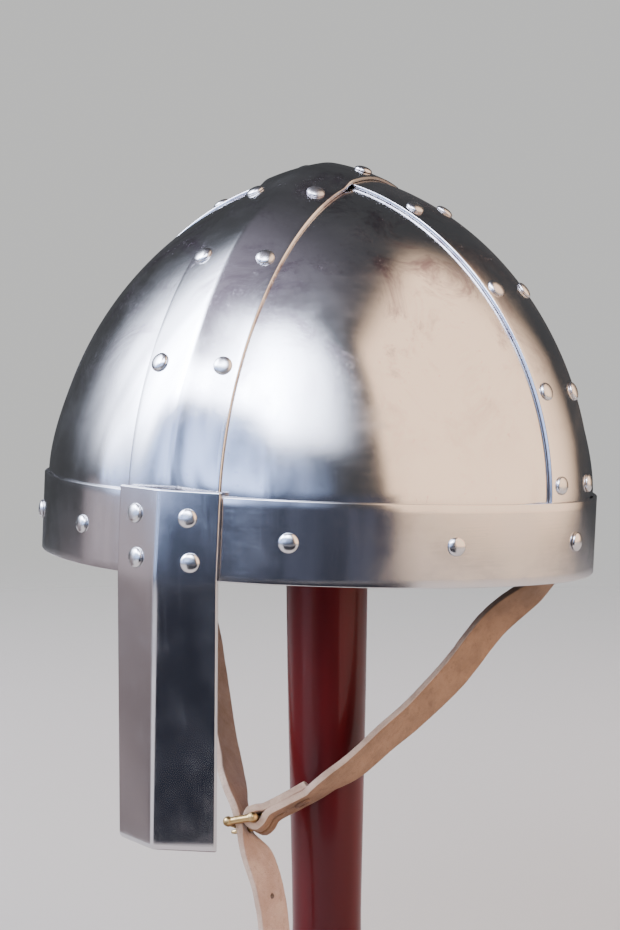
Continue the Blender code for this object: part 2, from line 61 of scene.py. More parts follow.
# %% Sums that become nodes
class Term:
    """A number that a node tree works out at every point."""

    def __init__(self, tree, socket):
        self.tree, self.socket = tree, socket

    def sum(self, operation, *values):
        """One Math node, filled with these values."""
        node = self.tree.nodes.new("ShaderNodeMath")
        node.operation = operation
        for socket, value in zip(node.inputs, values):
            put(self.tree, socket, value)
        return Term(self.tree, node.outputs[0])

    def __add__(self, other):
        return self.sum("ADD", self, other)

    def __sub__(self, other):
        return self.sum("SUBTRACT", self, other)

    def __rsub__(self, other):
        return self.sum("SUBTRACT", other, self)

    def __mul__(self, other):
        return self.sum("MULTIPLY", self, other)

    def __truediv__(self, other):
        return self.sum("DIVIDE", self, other)

    def __rtruediv__(self, other):
        return self.sum("DIVIDE", other, self)

    def __pow__(self, other):
        return self.sum("POWER", self, other)

    def __abs__(self):
        return self.sum("ABSOLUTE", self)

    def cos(self):
        return self.sum("COSINE", self)

    def sin(self):
        return self.sum("SINE", self)

    def at_least(self, other):
        return self.sum("MAXIMUM", self, other)

    def at_most(self, other):
        return self.sum("MINIMUM", self, other)

    def between(self, low, high, smooth=True, to=(0.0, 1.0)):
        """0 below `low`, 1 above `high`, and an even rise between them."""
        node = self.tree.nodes.new("ShaderNodeMapRange")
        node.interpolation_type = "SMOOTHSTEP" if smooth else "LINEAR"
        for socket, value in zip(node.inputs, (self, low, high, *to)):
            put(self.tree, socket, value)
        return Term(self.tree, node.outputs[0])


def put(tree, socket, value):
    """Fill a socket with a number, or link it to what another node gives."""
    if isinstance(value, Term):
        value = value.socket
    if isinstance(value, bpy.types.NodeSocket):
        tree.links.new(value, socket)
    else:
        socket.default_value = value


def add(tree, kind, inputs=None, **settings):
    """Add a node, fill its inputs by name, and return its outputs."""
    node = tree.nodes.new(kind)
    for name, value in settings.items():
        setattr(node, name, value)
    for name, value in (inputs or {}).items():
        put(tree, node.inputs[name], value)
    return node.outputs


print("tools for node sums are ready")

# %% Meshes and pieces
pieces = []


def new_mesh(name, points, faces):
    """A mesh from points and from faces that list their corners."""
    mesh = bpy.data.meshes.new(name)
    mesh.from_pydata([tuple(point) for point in points], [], faces)
    mesh.validate()
    return mesh


def outward(mesh):
    """Turn every face outwards, and shade it smooth."""
    bm = bmesh.new()
    bm.from_mesh(mesh)
    bmesh.ops.recalc_face_normals(bm, faces=bm.faces)
    for face in bm.faces:
        face.smooth = True
    bm.to_mesh(mesh)
    bm.free()


def add_piece(name, mesh, slot, finish, replaced, place=None):
    """Put a mesh into the scene as a piece of the object that stands for some of its solids."""
    if place is not None:
        mesh.transform(place)
    obj = bpy.data.objects.new(name, mesh)
    bpy.context.scene.collection.objects.link(obj)
    if finish is not None:
        mesh.materials.clear()
        mesh.materials.append(finish)
    pieces.append((obj, slot, replaced))
    return obj


def settle(obj):
    """Turn what the modifiers make into the object's own plain mesh."""
    graph = bpy.context.evaluated_depsgraph_get()
    mesh = bpy.data.meshes.new_from_object(obj.evaluated_get(graph))
    obj.modifiers.clear()
    obj.data = mesh
    print(f"{obj.name}: {len(mesh.vertices)} points, {len(mesh.polygons)} faces")
    return mesh


def tube_faces(stations, count, closed=False):
    """Faces between rings of `count` points, with an end cap on both ends unless closed."""
    faces = []
    for i in range(stations if closed else stations - 1):
        a, b = i * count, (i + 1) % stations * count
        faces += [(a + j, a + (j + 1) % count, b + (j + 1) % count, b + j) for j in range(count)]
    if not closed:
        faces += [tuple(range(count)), tuple(range((stations - 1) * count, stations * count))]
    return faces


def tube(path, radius, sides, closed, reference):
    """Rings of a wire along a path. `reference` is a way that no stretch of the path follows."""
    rings = []
    count = len(path)
    for i, place in enumerate(path):
        before = path[i - 1] if closed or i else path[i]
        after = path[(i + 1) % count] if closed or i + 1 < count else path[i]
        ahead = (after - before).normalized()
        first = reference.cross(ahead).normalized()
        second = ahead.cross(first)
        for j in range(sides):
            turn = 2 * pi * j / sides
            rings.append(place + radius * (cos(turn) * first + sin(turn) * second))
    return rings


print("two rings of 4 points, joined and capped, have", len(tube_faces(2, 4)), "faces")

# %% [markdown]
# ## Finishes
#
# Polished steel is never a perfect mirror. It has fine lines from the polishing wheel, a thin haze
# where fingers touched it, and a darker, brownish bloom where it began to tarnish. Each of these is
# a soft pattern that changes the roughness or the colour by a little. On the upper bowl the patches
# of smudge also darken the colour with a plum tint, as a painted dark reflection. The height of the
# metal changes too, by so little that only the reflections show it: a planished plate has faint,
# broad waves. All patterns read Object coordinates, so they are as large on the object as on the
# real one: a scale of 100 gives features of about 10 mm.

# %% The parts of a finish
def new_finish(name, color, roughness, metallic):
    """A plain material, its node tree and its shader."""
    material = bpy.data.materials.new(name)
    material.use_nodes = True
    tree = material.node_tree
    shader = tree.nodes["Principled BSDF"]
    shader.inputs["Base Color"].default_value = (*color, 1)
    shader.inputs["Roughness"].default_value = roughness
    shader.inputs["Metallic"].default_value = metallic
    material.diffuse_color = (*color, 1)
    return material, tree, shader


def object_place(tree, stretch=(1, 1, 1), turn=(0, 0, 0)):
    """Object coordinates, stretched and turned."""
    place = add(tree, "ShaderNodeTexCoord")["Object"]
    inputs = {"Vector": place, "Scale": stretch, "Rotation": turn}
    return add(tree, "ShaderNodeMapping", inputs)["Vector"]


def speckle(tree, place, scale, detail=3.0, roughness=0.5, distortion=0.0):
    """A soft random pattern between 0 and 1."""
    inputs = {"Vector": place, "Scale": scale, "Detail": detail, "Roughness": roughness}
    inputs["Distortion"] = distortion
    return Term(tree, add(tree, "ShaderNodeTexNoise", inputs)[0])


def blend_colors(tree, share, first, second):
    """A share of the second colour over the first."""
    node = tree.nodes.new("ShaderNodeMix")
    node.data_type = "RGBA"
    spots = {socket.identifier: socket for socket in node.inputs}
    for key, value in (("Factor_Float", share), ("A_Color", first), ("B_Color", second)):
        if isinstance(value, tuple) and len(value) == 3:
            value = (*value, 1)
        put(tree, spots[key], value)
    return next(socket for socket in node.outputs if socket.identifier == "Result_Color")


def bump(tree, height, depth, after=None):
    """Turn a height into slopes. `depth` is in metres."""
    inputs = {"Height": height, "Distance": depth, "Strength": 1.0}
    if after is not None:
        inputs["Normal"] = after
    return add(tree, "ShaderNodeBump", inputs)["Normal"]


print("tools for finishes are ready: patterns follow Object coordinates, heights are in metres")

# %% Polished steel
# Patterns: scale, detail, roughness and, for some, distortion.
HAZE, LINES, SMUDGE_AND_REFLECTION_PATCHES = (38, 4, 0.6, 0.4), (60, 2, 0.6), (34, 5, 0.7, 0.8)
PITS, TARNISH, SCRATCH_GRAIN = (420, 3, 0.7), (26, 5, 0.66, 0.5), (34, 2, 0.5)
# The smudge patches on the upper bowl are real smudges in the roughness, and painted dark reflection in
# the colour.
SMUDGE_AND_REFLECTION_START, SMUDGE_AND_REFLECTION_FULL = 0.225, 0.315  # heights over the stand's foot, where hands reach
# The plum tint is a painted dark reflection, laid over the patches of the upper bowl.
BROWN_TINT, PAINTED_REFLECTION_TINT = (0.60, 0.52, 0.53), (0.42, 0.34, 0.40)
LINE_DEPTH = 0.0000022
# Three sets of scratches: how each pattern is stretched, and how it is turned in radians.
SCRATCHES = (
    ((22, 22, 1), (0.4, 1.1, 0.3)),
    ((1, 26, 26), (0.2, 0.5, 0.8)),
    ((20, 1, 20), (0.7, 0.2, 0.1)),
)
# Name, colour, roughness, share of the bloom and of the painted dark reflection, stretch of the fine
# lines, and the depth in metres and the scale of the broad waves.
STEELS = (
    ("bowl steel", (0.66, 0.65, 0.67), 0.14, 0.7, (1, 1, 1), 0.00012, 26),
    ("plate steel", (0.66, 0.65, 0.67), 0.13, 1.0, (1, 1, 9), 0.00012, 26),
    ("brow steel", (0.64, 0.63, 0.65), 0.15, 0.5, (1, 1, 40), 0.00006, 26),
    ("nasal steel", (0.62, 0.61, 0.63), 0.15, 0.5, (9, 9, 1), 0.00008, 18),
    ("rivet steel", (0.66, 0.65, 0.66), 0.24, 0.4, (1, 1, 1), 0.00006, 300),
)


def tinted(color, tint):
    """A colour seen through a tint."""
    return tuple(value * share for value, share in zip(color, tint))


def polished_steel(name, color, roughness, bloom_and_reflection, line_way, wave_depth, wave_scale):
    """Steel polished on a wheel, with haze, fine lines, smudges with painted dark reflection, pits and
    scratches.
    """
    material, tree, shader = new_finish(name, color, roughness, 1.0)
    place = object_place(tree)
    height = Term(tree, add(tree, "ShaderNodeSeparateXYZ", {"Vector": place})["Z"])
    haze = speckle(tree, place, *HAZE)
    lines = speckle(tree, object_place(tree, line_way), *LINES)
    # Patches on the upper bowl: smudges in the roughness, and painted dark reflection in the colour.
    smudges_and_reflection = speckle(tree, place, *SMUDGE_AND_REFLECTION_PATCHES).between(0.46, 0.68)
    smudges_and_reflection = smudges_and_reflection * height.between(SMUDGE_AND_REFLECTION_START, SMUDGE_AND_REFLECTION_FULL)
    pits = speckle(tree, place, *PITS).between(0.62, 0.76)
    tarnish = speckle(tree, place, *TARNISH).between(0.52, 0.78) * 0.5 + pits * 0.35
    scratches = Term(tree, 0.0)
    for way, turn in SCRATCHES:
        grain = speckle(tree, object_place(tree, way, turn), *SCRATCH_GRAIN)
        scratches = scratches + grain.between(0.56, 0.80)
    marks = scratches * (smudges_and_reflection * 0.8 + 0.2)
    rough = haze.between(0.35, 0.75, to=(roughness * 0.75, roughness * 1.35))
    rough = rough + lines * 0.05 + tarnish * 0.06
    put(tree, shader.inputs["Roughness"], rough + smudges_and_reflection * 0.06 + marks * 0.12)
    dull = blend_colors(tree, tarnish * bloom_and_reflection, color, tinted(color, BROWN_TINT))
    # Painted dark reflection: a plum tint over the patches of the upper bowl.
    worn = blend_colors(tree, smudges_and_reflection * bloom_and_reflection, dull, tinted(color, PAINTED_REFLECTION_TINT))
    put(tree, shader.inputs["Base Color"], worn)
    waves = bump(tree, speckle(tree, place, wave_scale, 1, 0.4), wave_depth)
    put(tree, shader.inputs["Normal"], bump(tree, lines, LINE_DEPTH, waves))
    return material


steels = [polished_steel(*row) for row in STEELS]
bowl_steel, plate_steel, brow_steel, nasal_steel, rivet_steel = steels
print("steels:", ", ".join(steel.name for steel in steels))

# %% [markdown]
# Leather takes its looks from its fibres. The grain side is smooth, with fine creases and a few
# darker marks. The flesh side is rough and fibrous, and the cut edges are paler and show the layers.
# Towards the rim the colour is darkened as painted shade, where the helm shades the straps, the cut
# edges most of all.

# %% Leather
CLOUDS, MOTTLE, FIBRES = (95, 5, 0.62, 0.3), (420, 5, 0.72, 0.4), (900, 4, 0.7)
CREASE_DEPTH, FIBRE_DEPTH = 0.00006, 0.00012
# The dark colour of the painted shade near the rim, where the helm shades the straps.
PAINTED_SHADE_COLOR = (0.035, 0.018, 0.007)
# Painted shade towards the rim: the heights over the foot where it starts and is full, in metres, and
# its share.
GRAIN_PAINTED_SHADE, FLESH_PAINTED_SHADE, EDGE_PAINTED_SHADE = (0.158, 0.186, 0.45), (0.102, 0.125, 0.4), (0.155, 0.183, 0.88)
# Name, pale and dark colour, depth of the fibres, roughness, scale of the creases, and painted shade.
LEATHERS = (
    ("grain side of leather", (0.30, 0.165, 0.09), (0.19, 0.10, 0.05), 0.6, 0.62, 1500, GRAIN_PAINTED_SHADE),
    ("flesh side of leather", (0.52, 0.36, 0.285), (0.38, 0.235, 0.175), 1.4, 0.85, 900, FLESH_PAINTED_SHADE),
    ("cut edge of leather", (0.58, 0.43, 0.335), (0.40, 0.27, 0.20), 1.2, 0.8, 1100, EDGE_PAINTED_SHADE),
    ("leather lace", (0.24, 0.105, 0.045), (0.10, 0.04, 0.018), 1.0, 0.7, 1500, GRAIN_PAINTED_SHADE),
)


def leather(name, pale, dark, fibre, roughness, scale, painted_shade):
    """Leather with cloudy colour, dark specks, creases and fibres, and painted shade towards the rim.
    """
    material, tree, shader = new_finish(name, pale, roughness, 0.0)
    place = object_place(tree)
    cloud = speckle(tree, place, *CLOUDS)
    mottle = speckle(tree, place, *MOTTLE)
    color = blend_colors(tree, cloud.between(0.3, 0.7), pale, dark)
    spots = mottle.between(0.50, 0.72) * 0.4
    color = blend_colors(tree, spots, color, tuple(value * 0.55 for value in dark))
    height = Term(tree, add(tree, "ShaderNodeSeparateXYZ", {"Vector": place})["Z"])
    # Painted shade: darker above a height, towards the rim, where the helm shades the strap.
    start, full, share = painted_shade
    color = blend_colors(tree, height.between(start, full) * share, color, PAINTED_SHADE_COLOR)
    put(tree, shader.inputs["Base Color"], color)
    rough = mottle.between(0.2, 0.8, to=(roughness - 0.1, roughness + 0.1))
    put(tree, shader.inputs["Roughness"], rough)
    inputs = {"Vector": place, "Scale": scale}
    creases = add(tree, "ShaderNodeTexVoronoi", inputs, feature="DISTANCE_TO_EDGE")[0]
    fine = bump(tree, Term(tree, creases).between(0.0, 0.25), CREASE_DEPTH * fibre)
    fibres = bump(tree, speckle(tree, place, *FIBRES), FIBRE_DEPTH * fibre, fine)
    put(tree, shader.inputs["Normal"], fibres)
    shader.inputs["Sheen Weight"].default_value = 0.15 * fibre
    shader.inputs["Sheen Roughness"].default_value = 0.6
    return material


leathers = [leather(*row) for row in LEATHERS]
print("leathers:", ", ".join(finish.name for finish in leathers))

# %% [markdown]
# Brass dulls where dirt settles, so its colour and its roughness follow one cloudy pattern. The
# post is stained red under a clear lacquer. The lacquer is a thin coat with a soft gloss of its
# own, over wood that shows the stain's slow, upright clouds.

# %% Brass and red lacquer
DIRT, CASTING, WOOD_CLOUDS = (260, 5, 0.65, 0.5), (900, 3), (60, 2)
BRASS_CLEAN, BRASS_DIRTY = (0.56, 0.40, 0.18), (0.16, 0.10, 0.045)
RED_PALE, RED_DARK = (0.088, 0.002, 0.004), (0.050, 0.001, 0.003)


def aged_brass():
    """Cast brass, darker and duller where dirt has settled."""
    material, tree, shader = new_finish("aged brass", (0.62, 0.45, 0.20), 0.32, 1.0)
    place = object_place(tree)
    dirt = speckle(tree, place, *DIRT).between(0.45, 0.7)
    color = blend_colors(tree, dirt * 0.85, BRASS_CLEAN, BRASS_DIRTY)
    put(tree, shader.inputs["Base Color"], color)
    put(tree, shader.inputs["Roughness"], dirt.between(0, 1, False, (0.34, 0.6)))
    put(tree, shader.inputs["Normal"], bump(tree, speckle(tree, place, *CASTING), 0.00003))
    return material


def red_lacquer_finish():
    """Red stain under clear lacquer: deep, with slow upright clouds where the stain took."""
    material, tree, shader = new_finish("red lacquer", (0.10, 0.003, 0.005), 0.4, 0.0)
    cloud = speckle(tree, object_place(tree, (1, 1, 0.12)), *WOOD_CLOUDS)
    color = blend_colors(tree, cloud.between(0.35, 0.65), RED_PALE, RED_DARK)
    put(tree, shader.inputs["Base Color"], color)
    put(tree, shader.inputs["Normal"], bump(tree, cloud, 0.00008))
    shader.inputs["Coat Weight"].default_value = 0.3
    shader.inputs["Coat Roughness"].default_value = 0.1
    shader.inputs["Specular IOR Level"].default_value = 0.15
    return material


brass = aged_brass()
red_lacquer = red_lacquer_finish()
print(len(bpy.data.materials), "finishes")

# %% [markdown]
# ## The shape of the helm
#
# Seen from above the rim is an ellipse, a little leaner between its four ends. Seen from the front
# or from the side the crown is half an ellipse, a little leaner at its shoulders. One rule with two
# powers gives both, and powers of 2 would be true ellipses. Every layer of metal follows the rule
# at its own depth. So the plates lie exactly under the bands, and the bands exactly inside the brow
# band, as they do when a smith fits each layer over the last. The helm sits on the stand with a
# lean of two and a half degrees.

# %% Sizes of the helm
MM = 0.001  # all lengths are in metres
HALF_LENGTH, HALF_WIDTH = 112 * MM, 108 * MM
BROW_HEIGHT, CROWN_HEIGHT = 29 * MM, 119.6 * MM
PLAN_POWER, RISE_POWER = 1.8, 1.86
BROW_SHEET, SHEET, LAP_GAP = 1.5 * MM, 1.4 * MM, 0.12 * MM
BAND_DEPTH = BROW_SHEET + LAP_GAP
PLATE_DEPTH = BAND_DEPTH + SHEET + LAP_GAP
TUCK = 25 * MM  # how far bands and plates reach down inside the brow band
RIM_MIDDLE = Vector((-3.5, -1.9, 195)) * MM
LEAN, LEAN_WAY = radians(2.5), radians(28.1)

lean_axis = Vector((-sin(LEAN_WAY), cos(LEAN_WAY), 0))
helm_place = Matrix.Translation(RIM_MIDDLE) @ Matrix.Rotation(LEAN, 4, lean_axis)


def rim(turn, depth):
    """Across and along of a layer's foot, turned round from the front to the wearer's left."""
    spread = abs(np.sin(turn)) ** PLAN_POWER + abs(np.cos(turn)) ** PLAN_POWER
    reach = spread ** (-1 / PLAN_POWER)
    return (HALF_WIDTH - depth) * reach * np.sin(turn), -(HALF_LENGTH - depth) * reach * np.cos(turn)


def crown(across, along, depth):
    """Height of the layer at this depth, above a place in plan."""
    u = abs(across / (HALF_WIDTH - depth)) ** PLAN_POWER
    v = abs(along / (HALF_LENGTH - depth)) ** PLAN_POWER
    return BROW_HEIGHT + (CROWN_HEIGHT - depth) * np.maximum(1 - u - v, 0) ** (1 / RISE_POWER)


print(f"rim {2 * HALF_WIDTH / MM:.0f} by {2 * HALF_LENGTH / MM:.0f} mm")
print(f"crown {crown(0, 0, 0) / MM:.1f} mm above the rim")

# %% [markdown]
# ## Trees that make shapes
#
# A Geometry Nodes tree is a recipe that a modifier follows. Its sizes are named inputs, so one
# tree can serve several pieces, and a size can be changed without a look at its nodes. Both trees
# below start and end alike: they take a mesh, and at their end instances become real faces and get
# their finish. The result is then kept as a plain mesh, so a piece needs no modifier later.

# %% What every shape tree needs
def new_shape_tree(name, numbers):
    """A shape tree with a mesh input and named number inputs. Returns the tree, its inputs, and the
    number inputs as terms."""
    tree = bpy.data.node_groups.new(name, "GeometryNodeTree")
    tree.is_modifier = True
    tree.interface.new_socket("Geometry", in_out="INPUT", socket_type="NodeSocketGeometry")
    tree.interface.new_socket("Geometry", in_out="OUTPUT", socket_type="NodeSocketGeometry")
    for label, value in numbers:
        socket = tree.interface.new_socket(label, in_out="INPUT", socket_type="NodeSocketFloat")
        socket.default_value = value
    given = tree.nodes.new("NodeGroupInput").outputs
    return tree, given, {label: Term(tree, given[label]) for label, _ in numbers}


def end_shape_tree(tree, geometry, finish):
    """Every shape tree ends the same way: real geometry, with its finish set."""
    real = add(tree, "GeometryNodeRealizeInstances", {"Geometry": geometry})["Geometry"]
    done = add(tree, "GeometryNodeSetMaterial", {"Geometry": real, "Material": finish})["Geometry"]
    put(tree, tree.nodes.new("NodeGroupOutput").inputs[0], done)


def shape_with(obj, tree, **numbers):
    """Run a shape tree on an object, with its number inputs set by their sockets' identifiers."""
    modifier = obj.modifiers.new(tree.name, "NODES")
    modifier.node_group = tree
    wanted = {label.replace("_", " ").capitalize(): value for label, value in numbers.items()}
    for item in tree.interface.items_tree:
        if item.in_out == "INPUT" and item.name in wanted:
            modifier[item.identifier] = wanted.pop(item.name)
    assert not wanted, f"the tree has no input named {list(wanted)}"
    return settle(obj)


print("tools for shape trees are ready: named inputs first, Realize Instances and Set Material last")

# %% [markdown]
# ## The crossed bands
#
# Each band starts as a flat strip about 37 mm wide. The smith bends it over a stake until it
# follows the crown. The script does the same: it lays out a flat strip with filed edges, and a
# Geometry Nodes tree bends it. In the flat strip, x is the place across the band, y is the angle
# along the arch, and z is the depth under the face. The tree reads these three numbers and sends
# each point to its place on the crown. The fore-and-aft band has a low ridge along its middle, and
# climbs over the cross band at the top. Below the brow both ends run straight down, out of sight
# inside the brow band.

# %% A tree that bends a strip over the crown
HALF_BAND = 18.4 * MM
KEEL_POWER = 0.6  # below 1, so the ridge keeps its height well down both arms
CLIMB_START, CLIMB_END = 19.2 * MM, 27 * MM  # distances from the top
BAND_INPUTS = (
    ("Half span", HALF_LENGTH),
    ("Half width", HALF_WIDTH),
    ("Depth", BAND_DEPTH),
    ("Ridge", 0.0),
    ("Climb", 0.0),
    ("Band half width", HALF_BAND),
    ("Brow height", BROW_HEIGHT),
    ("Crown height", CROWN_HEIGHT),
    ("Plan power", PLAN_POWER),
    ("Rise power", RISE_POWER),
)


def band_tree(finish):
    """Sends a flat strip's x, y and z to a place across a band, along its arch and under it."""
    tree, given, size = new_shape_tree("Bend a strip over the crown", BAND_INPUTS)
    flat = add(tree, "ShaderNodeSeparateXYZ", {"Vector": add(tree, "GeometryNodeInputPosition")[0]})
    offset, arc, under = (Term(tree, flat[i]) for i in range(3))
    angle = arc.at_least(0.0).at_most(pi)
    drop = (angle - arc).at_least(0.0) + (arc - angle).at_least(0.0)
    ridge = size["Ridge"] * angle.sin().at_least(0.0) ** KEEL_POWER
    ridge = ridge * (1 - abs(offset) / size["Band half width"])
    from_top = abs(angle.cos() * size["Half span"])
    climb = size["Climb"] * (1 - from_top.between(CLIMB_START, CLIMB_END))
    depth = size["Depth"] + under - ridge - climb
    share = (1 - abs(offset / (size["Half width"] - depth)) ** size["Plan power"]).at_least(0.0)
    run = (size["Half span"] - depth) * share ** (1 / size["Plan power"]) * angle.cos()
    steep = (1 - abs(angle.cos()) ** size["Plan power"]).at_least(0.0)
    rise = (size["Crown height"] - depth) * (share * steep) ** (1 / size["Rise power"])
    height = size["Brow height"] + rise - drop
    place = add(tree, "ShaderNodeCombineXYZ", {"X": run, "Y": offset, "Z": height})[0]
    bent = add(tree, "GeometryNodeSetPosition", {"Geometry": given[0], "Position": place})["Geometry"]
    end_shape_tree(tree, bent, finish)
    return tree


bend = band_tree(bowl_steel)
print(f"{bend.name}: {len(bend.nodes)} nodes, {len(BAND_INPUTS)} named inputs")

# %% Bend both bands
KEEL, CLIMB = 2.4 * MM, SHEET + LAP_GAP
BAND_EDGE, BAND_COLUMNS, BAND_STATIONS = 0.38 * MM, 24, 160


def rounded_strip(half, sheet, radius, columns):
    """Section of a strip with filed edges: offset from its middle, and depth under its face."""
    low, high = -half + radius, half - radius
    arcs = [radians(turn) for turn in (0, 22, 45, 68, 90)]
    face = [low + (high - low) * i / columns for i in range(1, columns)]
    points = [(offset, 0) for offset in face]
    points += [(high + radius * sin(t), radius - radius * cos(t)) for t in arcs]
    points += [(high + radius * cos(t), sheet - radius + radius * sin(t)) for t in arcs]
    points += [(offset, sheet) for offset in reversed(face)]
    points += [(low - radius * sin(t), sheet - radius + radius * cos(t)) for t in arcs]
    points += [(low - radius * cos(t), radius - radius * sin(t)) for t in arcs]
    return points


def flat_strip(name):
    """The strip before it is bent, with each end long enough to tuck inside the brow band."""
    arcs = [-TUCK, *(pi * i / BAND_STATIONS for i in range(BAND_STATIONS + 1)), pi + TUCK]
    section = rounded_strip(HALF_BAND, SHEET, BAND_EDGE, BAND_COLUMNS)
    points = [(offset, arc, under) for arc in arcs for offset, under in section]
    return new_mesh(name, points, tube_faces(len(arcs), len(section)))


fore_aft_sizes = {"ridge": KEEL, "climb": CLIMB, "half_span": HALF_LENGTH, "half_width": HALF_WIDTH}
cross_sizes = {"half_span": HALF_WIDTH, "half_width": HALF_LENGTH}
for name, solid, sizes, turn in (
    ("fore_aft_strip", "fore_aft_band", fore_aft_sizes, Matrix.Rotation(-pi / 2, 4, "Z")),
    ("cross_strip", "cross_band", cross_sizes, Matrix()),
):
    band = add_piece(name, flat_strip(name), "bowl_steel", bowl_steel, [solid])
    shape_with(band, bend, **sizes)
    band.data.transform(helm_place @ turn)
    outward(band.data)

# %% [markdown]
# ## The brow band and the four plates
#
# The brow band is a flat strip too, closed into a ring, so it stands straight up. The plates are
# the only pieces with a double curve. A smith sinks them into a hollow in a block, and planishes
# them smooth. Here each plate is a grid that follows the crown at the plates' depth. Between the
# bands it swells outwards a little at its foot, where nothing holds it in but the brow band.

# %% Roll the brow band
BROW_EDGE, BROW_COLUMNS, BROW_STATIONS = 0.4 * MM, 10, 360


def brow_ring():
    """The brow band's section, carried round the rim."""
    section = rounded_strip(BROW_HEIGHT / 2, BROW_SHEET, BROW_EDGE, BROW_COLUMNS)
    points = []
    for i in range(BROW_STATIONS):
        for offset, under in section:
            across, along = rim(2 * pi * i / BROW_STATIONS, under)
            points.append((across, along, BROW_HEIGHT / 2 + offset))
    return new_mesh("brow_ring", points, tube_faces(BROW_STATIONS, len(section), closed=True))


brow_band = add_piece("brow_ring", brow_ring(), "brow_steel", brow_steel, ["brow_band"], helm_place)
outward(brow_band.data)
print("brow ring:", len(brow_band.data.polygons), "faces")

# %% The shape of a plate
PLATE_EDGE, PLATE_TIP = 8 * MM, 17 * MM  # from the helm's middle planes, under the bands
BULGE, BULGE_START, BULGE_FULL = PLATE_DEPTH - BAND_DEPTH, 21 * MM, 35 * MM
PLATE_GRID = 56  # points along each way of a plate


def ease(x):
    """0 below 0, 1 above 1, and a soft rise between them."""
    x = np.clip(x, 0, 1)
    return x * x * (3 - 2 * x)


def plate_place(column, row, depth):
    """Across and along of a plate's grid: column 0 at the fore-and-aft band, row 0 at the brow."""
    u, v = PLATE_EDGE / (HALF_WIDTH - depth), PLATE_EDGE / (HALF_LENGTH - depth)
    first = np.arctan2(u, (1 - u**PLAN_POWER) ** (1 / PLAN_POWER))
    last = np.arctan2((1 - v**PLAN_POWER) ** (1 / PLAN_POWER), v)
    foot_across, foot_along = rim(first + (last - first) * column, depth)
    tip_across = PLATE_EDGE + (PLATE_TIP - PLATE_EDGE) * column
    tip_along = PLATE_TIP + (PLATE_EDGE - PLATE_TIP) * column
    out = np.cos(row * pi / 2)
    return tip_across + (foot_across - tip_across) * out, tip_along + (-foot_along - tip_along) * out


def plate_face(inward):
    """Points of one face of a plate, as rows up from the brow."""
    row, column = np.meshgrid(*[np.linspace(0, 1, PLATE_GRID)] * 2, indexing="ij")
    across, along = plate_place(column, row, PLATE_DEPTH)
    height = crown(across, along, PLATE_DEPTH)
    height[0] = BROW_HEIGHT
    swell = ease((across - BULGE_START) / (BULGE_FULL - BULGE_START))
    swell *= ease((along - BULGE_START) / (BULGE_FULL - BULGE_START))
    swell *= ease(1 - (height - BROW_HEIGHT) / BULGE_FULL)
    depth = PLATE_DEPTH - BULGE * swell + inward
    across, along = plate_place(column, row, depth)
    height = crown(across, along, depth)
    height[0] = BROW_HEIGHT
    points = np.dstack((across, along, height))
    foot = points[:1] - np.array((0, 0, TUCK))
    return np.concatenate((foot, points))


outer, inner = plate_face(0), plate_face(SHEET)
print("each plate is", " by ".join(str(count) for count in outer.shape[:2]), "points on either face")

# %% Sink the plates
def slab(name, front, back):
    """A closed sheet between two grids of points."""
    rows, columns = front.shape[:2]
    points = np.concatenate((front.reshape(-1, 3), back.reshape(-1, 3)))
    grid = np.arange(rows * columns).reshape(rows, columns)
    faces = []
    for shift, way in ((0, 1), (rows * columns, -1)):
        quads = np.stack((grid[:-1, :-1], grid[:-1, 1:], grid[1:, 1:], grid[1:, :-1]), -1)
        quads = quads.reshape(-1, 4)
        faces += [tuple(int(k) for k in quad[::way] + shift) for quad in quads]
    edge = np.concatenate((grid[0], grid[1:, -1], grid[-1, -2::-1], grid[-2:0:-1, 0]))
    for a, b in zip(edge, np.roll(edge, -1)):
        a, b = int(a), int(b)
        faces.append((b, a, a + rows * columns, b + rows * columns))
    return new_mesh(name, points, faces)


for end_name, end in (("front", -1), ("back", 1)):
    for side_name, side in (("left", 1), ("right", -1)):
        ways = np.array((side, end, 1))
        plate = slab(f"{end_name}_{side_name}_shell", outer * ways, inner * ways)
        outward(plate)
        node = f"plate_{end_name}_{side_name}"
        add_piece(plate.name, plate, "bowl_steel", plate_steel, [node], helm_place)
print("each plate:", len(plate.polygons), "faces")

# %% [markdown]
# ## The nasal
#
# The nasal is a long strip folded to a shallow V, with its ridge forwards. Its upper end is
# riveted over the brow band, and just under the rim it bends back a little to follow the face.
# Both are gentle folds with a small radius, so the section is worked out with a rounded ridge, and
# the bend is eased over a few millimetres. A Bevel modifier files the outer edges.

# %% Fold the nasal
# Places are in the helm's own frame, with height 0 at the rim.
NASAL_CENTRE, NASAL_FACE = 0.8 * MM, -111.4 * MM
NASAL_TOP, NASAL_END, NASAL_SHEET = 30.6 * MM, -94.5 * MM, 2.0 * MM
NASAL_HALF_WIDTH, NASAL_END_HALF_WIDTH = 20.1 * MM, 19.5 * MM
NASAL_RIDGE, NASAL_END_RIDGE, NASAL_BEND = 6.5 * MM, 9.7 * MM, 7.3 * MM
RIDGE_RADIUS, BEND_EASE = 0.7 * MM, 2.5 * MM
WORN_HEIGHT, WORN_DEPTH = 2.0 * MM, 1.3 * MM
FILED_EDGE, FILED_ANGLE = 0.55 * MM, radians(50)
# Up to here the grid's lines lie close, and from here they lie wide: shares of the half width
# beside the ridge, and heights beside the fold at the rim.
RIDGE_REACH, FLANK_START = 0.12, 0.14
FOLD_REACH, LONG_PART_START = 6 * MM, 8 * MM


